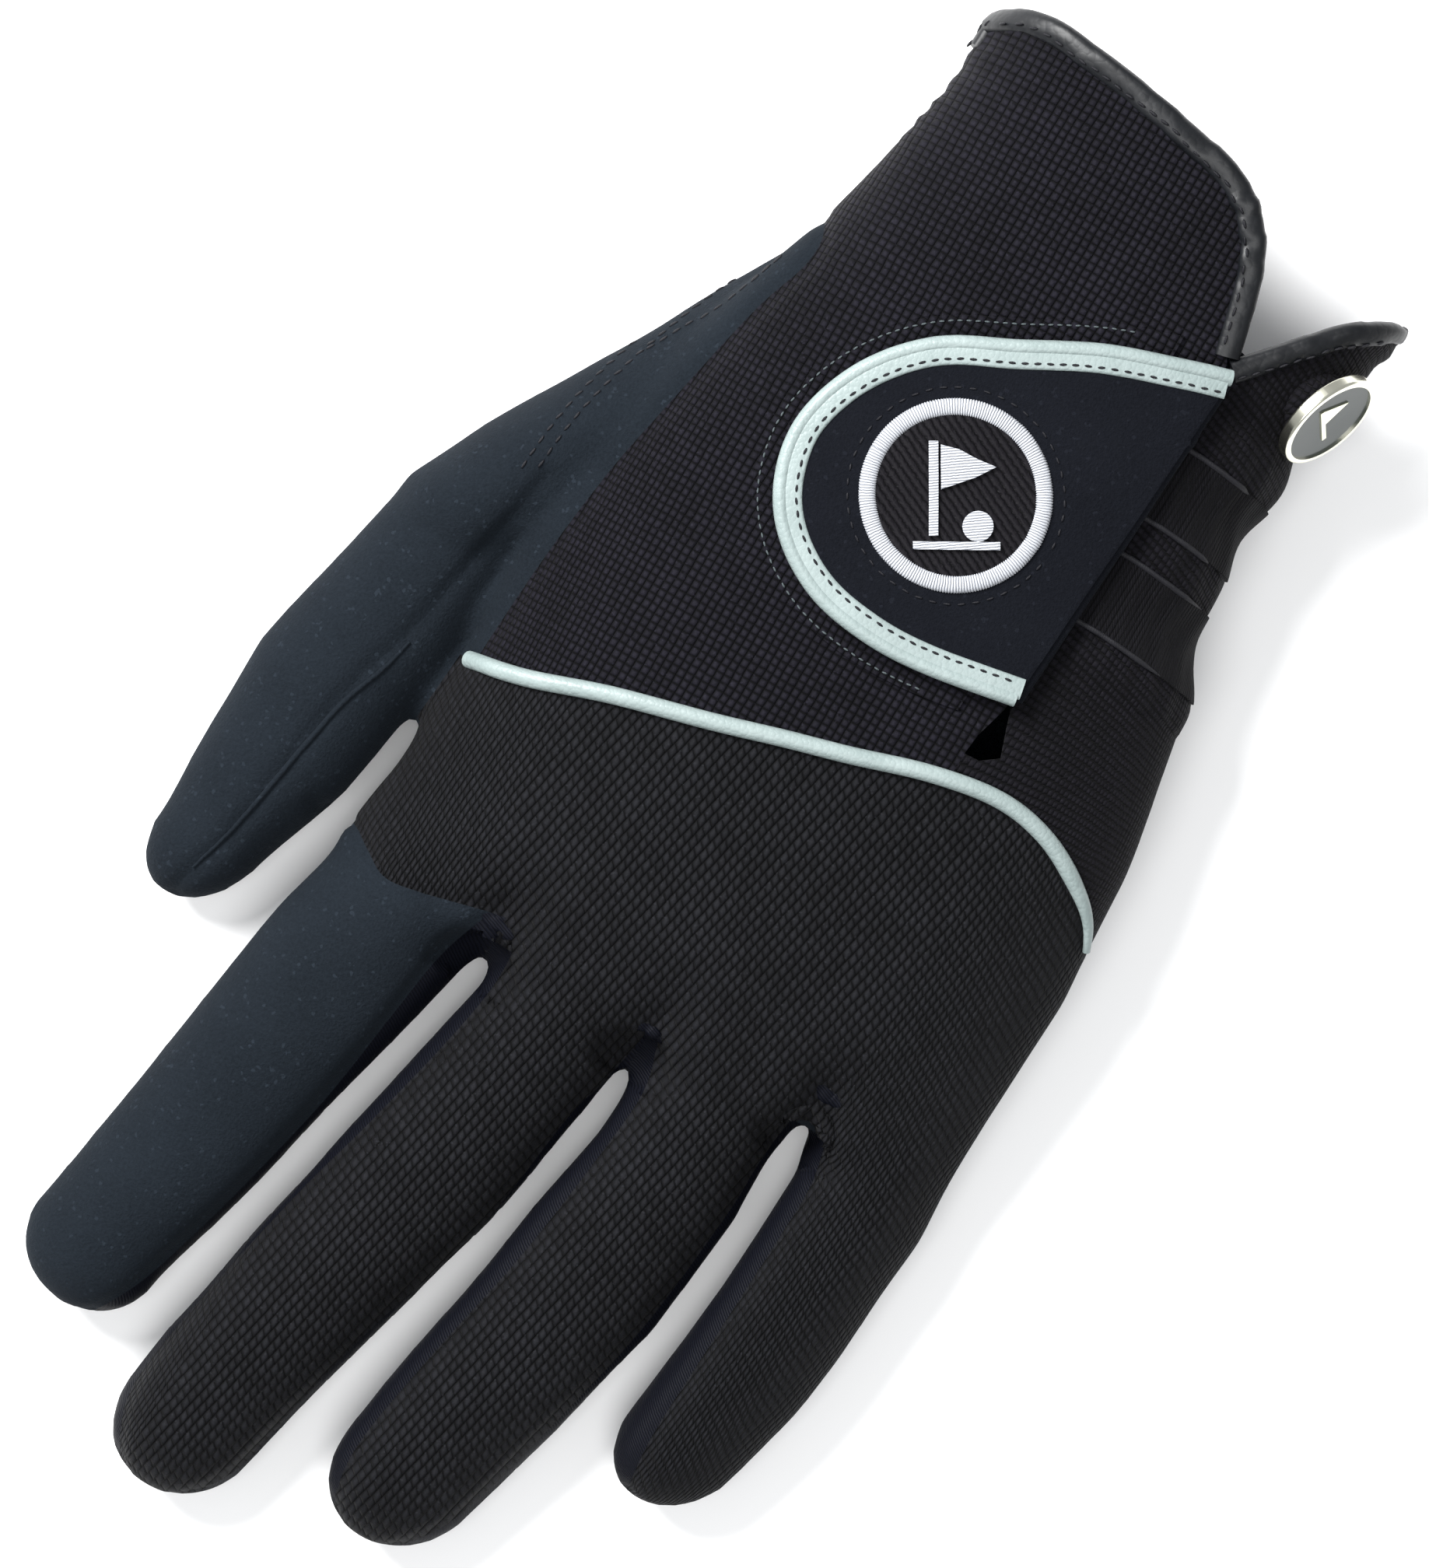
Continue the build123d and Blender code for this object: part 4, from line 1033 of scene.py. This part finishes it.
def circleLine(radius, steps):
    return [Vector((badge["centre"][0] + radius * math.cos(2 * math.pi * k / steps),
                    badge["centre"][1] + radius * math.sin(2 * math.pi * k / steps))) for k in range(steps)]


def upright(shape):
    # a shape drawn about the badge's centre, turned with the badge
    c, s = math.cos(math.radians(badge["tilt"])), math.sin(math.radians(badge["tilt"]))
    bx, by = badge["centre"]
    return [(bx + x * c - y * s, by + x * s + y * c) for x, y in shape]


badgeDisc = patch("badgeTwill", circleLine(badge["twill"], 72), badge["underside"], badge["twillTop"], 0.05)
mount(badgeDisc, "closure_tab", ["badge_disc"], finishes["twill"], tab["bend"])
ringHalf = badge["ring"] / 2
ringSection = [(ringHalf * math.cos(math.pi * k / 8), badge["ringHeight"] * math.sin(math.pi * k / 8))
               for k in range(9)] + [(0, -0.3)]
ringSteps = badge["threads"] * 2  # a thread and the dip after it
badgeRing = sweep("badgeRing", circleLine(badge["radius"] - ringHalf, ringSteps), 2.95, ringSection,
                  lambda t: 1.0 if round(t * (ringSteps - 1)) % 2 else 0.9, closed=True)
rememberRing(badgeRing, badge["centre"], 12)
mount(badgeRing, "closure_tab", ["badge_ring"], finishes["whiteThread"], tab["bend"])
for name, shape in emblemShapes.items():
    emblem = patch(name, upright(shape), 3.0, badge["emblemTop"], 0.22)
    mount(emblem, "closure_tab", ["badge_emblem"] if name == "emblemFlag" else [],
          finishes["whiteFlag"], tab["bend"])
badgeSeam = circleLine(badgeStitches["radiusOfRow"], 72)
stitchRow("badgeStitches", [*badgeSeam, badgeSeam[0]], badgeStitches, "closure_tab", ends=tab["bend"])
print("badge made")

# piping over the knuckles
piping = {"right": 51.7, "lift": 0.35, "section": (1.25, 1.15, 16), "thinsFrom": 0.85, "loss": 0.5}
pipingRoll = sweep("knucklePiping", [p for p in pipingLine if p.x < piping["right"]], piping["lift"],
                   roundSection(*piping["section"]), thinning(piping["thinsFrom"], piping["loss"]))
mount(pipingRoll, "hand", ["knuckle_piping"], finishes["paleLeather"])

# leather bindings
cuffEdge = {"lift": -0.5, "section": (1.9, 1.35, 16, 2.6)}
cuffStitches = {"inset": 1.0, "lift": 0.85, "spacing": 2.0, "length": 1.45, "radius": 0.22}
earEdge = {"lift": -0.5, "section": (1.7, 1.3, 16, 2.6), "thinsFrom": 0.8, "loss": 0.75}
earStitches = {"inset": 0.9, "lift": 0.8, "spacing": 2.0, "length": 1.45, "radius": 0.2, "bareEnd": 7}
cuffBinding = sweep("cuffBinding", cuffLine, cuffEdge["lift"], roundSection(*cuffEdge["section"]))
mount(cuffBinding, "hand", ["cuff_binding"], finishes["blackLeather"])
stitchRow("cuffStitches", sideways(cuffLine, -cuffStitches["inset"]), cuffStitches, "hand")
earBinding = sweep("earBinding", earLine, earEdge["lift"], roundSection(*earEdge["section"]),
                   thinning(earEdge["thinsFrom"], earEdge["loss"]))
mount(earBinding, "hand", ["ear_binding"], finishes["blackLeather"])
earSeam = sideways(earLine, -earStitches["inset"])[:-earStitches["bareEnd"]]
stitchRow("earStitches", earSeam, earStitches, "hand")

# elastics: low and high edge at the slit, and how far the corded edges reach
elastics = {
    "lowerElastic": {"low": 36.2, "high": 47.4, "reach": 40.6, "node": "lower_elastic_band"},
    "upperElastic": {"low": 53.2, "high": 64.4, "reach": 38, "node": "upper_elastic_band"},
}
edgeCord = {"lift": 0.32, "section": (0.42, 0.34, 8), "thinsFrom": 0.75, "loss": 0.9}
for name, elastic in elastics.items():
    low, high = elastic["low"], elastic["high"]
    outline = [(25.6, low), (36, low - 0.3), (60, low - 2.2),
               (60, high - 2.2), (36, high - 0.3), (25.9, high)]
    band = patch(name, outline, 0.0, 0.4, 0.15, 6)
    mount(band, "hand", [elastic["node"]], finishes["elastic"])
    for edge, y in (("Low", low), ("High", high)):
        line = smoothLine([(25.8, y), (30, y), (36, y - 0.3), (elastic["reach"], y - 0.6)], 6)
        cord = sweep(name + edge + "Edge", line, edgeCord["lift"], roundSection(*edgeCord["section"]),
                     thinning(edgeCord["thinsFrom"], edgeCord["loss"]))
        mount(cord, "hand", [], finishes["blackThread"])
print("trims made")

# quirks between the fingers: place, and how far they reach to each side
quirks = {"gusset_index_middle": (-20.6, -41.8, 2.9), "gusset_middle_ring": (5.5, -43.6, 2.1),
          "gusset_ring_little": (31.4, -38.2, 2.3)}
quirkRoll = {"lift": -0.5, "section": (1.5, 0.9, 12), "ends": 0.06}
for cadName, (x, y, reach) in quirks.items():
    line = smoothLine([(x - reach, y + 0.6), (x - reach * 0.4, y), (x + reach * 0.4, y - 0.4),
                       (x + reach, y - 0.2)], 5)
    quirk = sweep(cadName.replace("gusset", "quirk"), line, quirkRoll["lift"],
                  roundSection(*quirkRoll["section"]), swelling(quirkRoll["ends"]))
    mount(quirk, "hand", [cadName], finishes["lycra"])

# the rows of stitches beside the thumb, and the lip of the thumb's seam
thenarSeam = smoothLine([(-36.5, 60), (-40.4, 51), (-43.6, 42), (-46.2, 33), (-48, 24), (-48.8, 14)])
thenarStitches = {"apart": 1.9, "lift": 0.06, "spacing": 2.1, "length": 1.5, "radius": 0.2}
stitchRow("thenarStitchesInner", thenarSeam, thenarStitches, "hand")
stitchRow("thenarStitchesOuter", sideways(thenarSeam, -thenarStitches["apart"]), thenarStitches, "hand")
thumbLip = {
    "line": [(-51.8, -14), (-53, -19), (-55.4, -26), (-57, -34), (-58.4, -42), (-60, -50), (-62, -57)],
    "lift": 0.15, "section": (0.42, 0.4, 8), "ends": 0.08,
}
lip = sweep("thumbSeamLip", smoothLine(thumbLip["line"]), thumbLip["lift"],
            roundSection(*thumbLip["section"]), swelling(thumbLip["ends"]))
mount(lip, "thumb", [], finishes["suede"], digitBend["thumb"])
print("seams made")

# the ball marker keeps its shape, on a holder covered in knit
holder = {"centre": (39.3, 79.3, 22.6), "size": (5.6, 5.6, 4.2), "facing": (0.85, -0.32, 0.42)}
markerLooks = {"marker_cup": "markerMetal", "marker_stud": "markerMetal", "marker_enamel": "enamel",
               "marker_emblem": "paleBrass", "hook_pad": "hookTape"}
deselect()
bpy.ops.mesh.primitive_uv_sphere_add(segments=32, ring_count=18, radius=1)
cover = bpy.context.active_object
cover.name = "markerHolderCover"
facing = Vector(holder["facing"]).normalized()
cover.data.transform(Matrix.Translation(Vector(holder["centre"]) * mm)
                     @ facing.to_track_quat("Z", "Y").to_matrix().to_4x4()
                     @ Matrix.Diagonal((*(Vector(holder["size"]) * mm), 1)))
bpy.ops.object.shade_smooth()
mount(cover, "hand", ["marker_socket"], finishes["cordKnit"])
for cadName, look in markerLooks.items():
    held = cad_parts[cadName]
    if not held.material_slots:
        held.data.materials.append(finishes[look])
    for slot in held.material_slots:
        slot.material = finishes[look]
print("marker finished")

# floor, light and camera
studio = {
    "floor": (0.95, 0.95, 0.95), "floorSize": 6,
    "sky": (0.95, 0.97, 1), "skyStrength": 0.4,
    "aim": (0, -0.01, 0.01),
    "lamps": {"keyLight": {"place": (-0.54, 0.18, 0.58), "size": 0.4, "power": 15},
              "topLight": {"place": (0.1, -0.3, 1.0), "size": 0.8, "power": 8}},
}
view = {"place": (-0.0049, -0.00905, 0.843), "turn": 31, "lens": 135, "sensor": 36}
bpy.data.objects.remove(blank)
for extra in (cutMaterial, clothMaterial):
    bpy.data.materials.remove(extra)
deselect()
bpy.ops.mesh.primitive_plane_add(size=studio["floorSize"], location=(0, 0, 0))
floor = bpy.context.active_object
floor.name = "floor"
floorMaterial, tree, shader = finish("paperFloor", Roughness=0.9)
shader.inputs["Base Color"].default_value = (*studio["floor"], 1)
floor.data.materials.append(floorMaterial)
world = bpy.data.worlds.new("studio")
world.use_nodes = True
sky = world.node_tree.nodes["Background"]
sky.inputs["Color"].default_value = (*studio["sky"], 1)
sky.inputs["Strength"].default_value = studio["skyStrength"]
bpy.context.scene.world = world
bpy.context.scene.view_settings.view_transform = "Standard"
for name, box in studio["lamps"].items():
    lamp = bpy.data.objects.new(name, bpy.data.lights.new(name, "AREA"))
    lamp.data.shape = "DISK"
    lamp.data.size = box["size"]
    lamp.data.energy = box["power"]
    lamp.location = box["place"]
    lamp.rotation_euler = (Vector(studio["aim"]) - Vector(box["place"])).to_track_quat("-Z", "Y").to_euler()
    bpy.context.collection.objects.link(lamp)
camera = bpy.data.objects.new("camera", bpy.data.cameras.new("camera"))
bpy.context.collection.objects.link(camera)
camera.location = view["place"]
camera.rotation_euler = (0, 0, math.radians(view["turn"]))
camera.data.lens = view["lens"]
camera.data.sensor_width = view["sensor"]
bpy.context.scene.camera = camera
print("studio set")
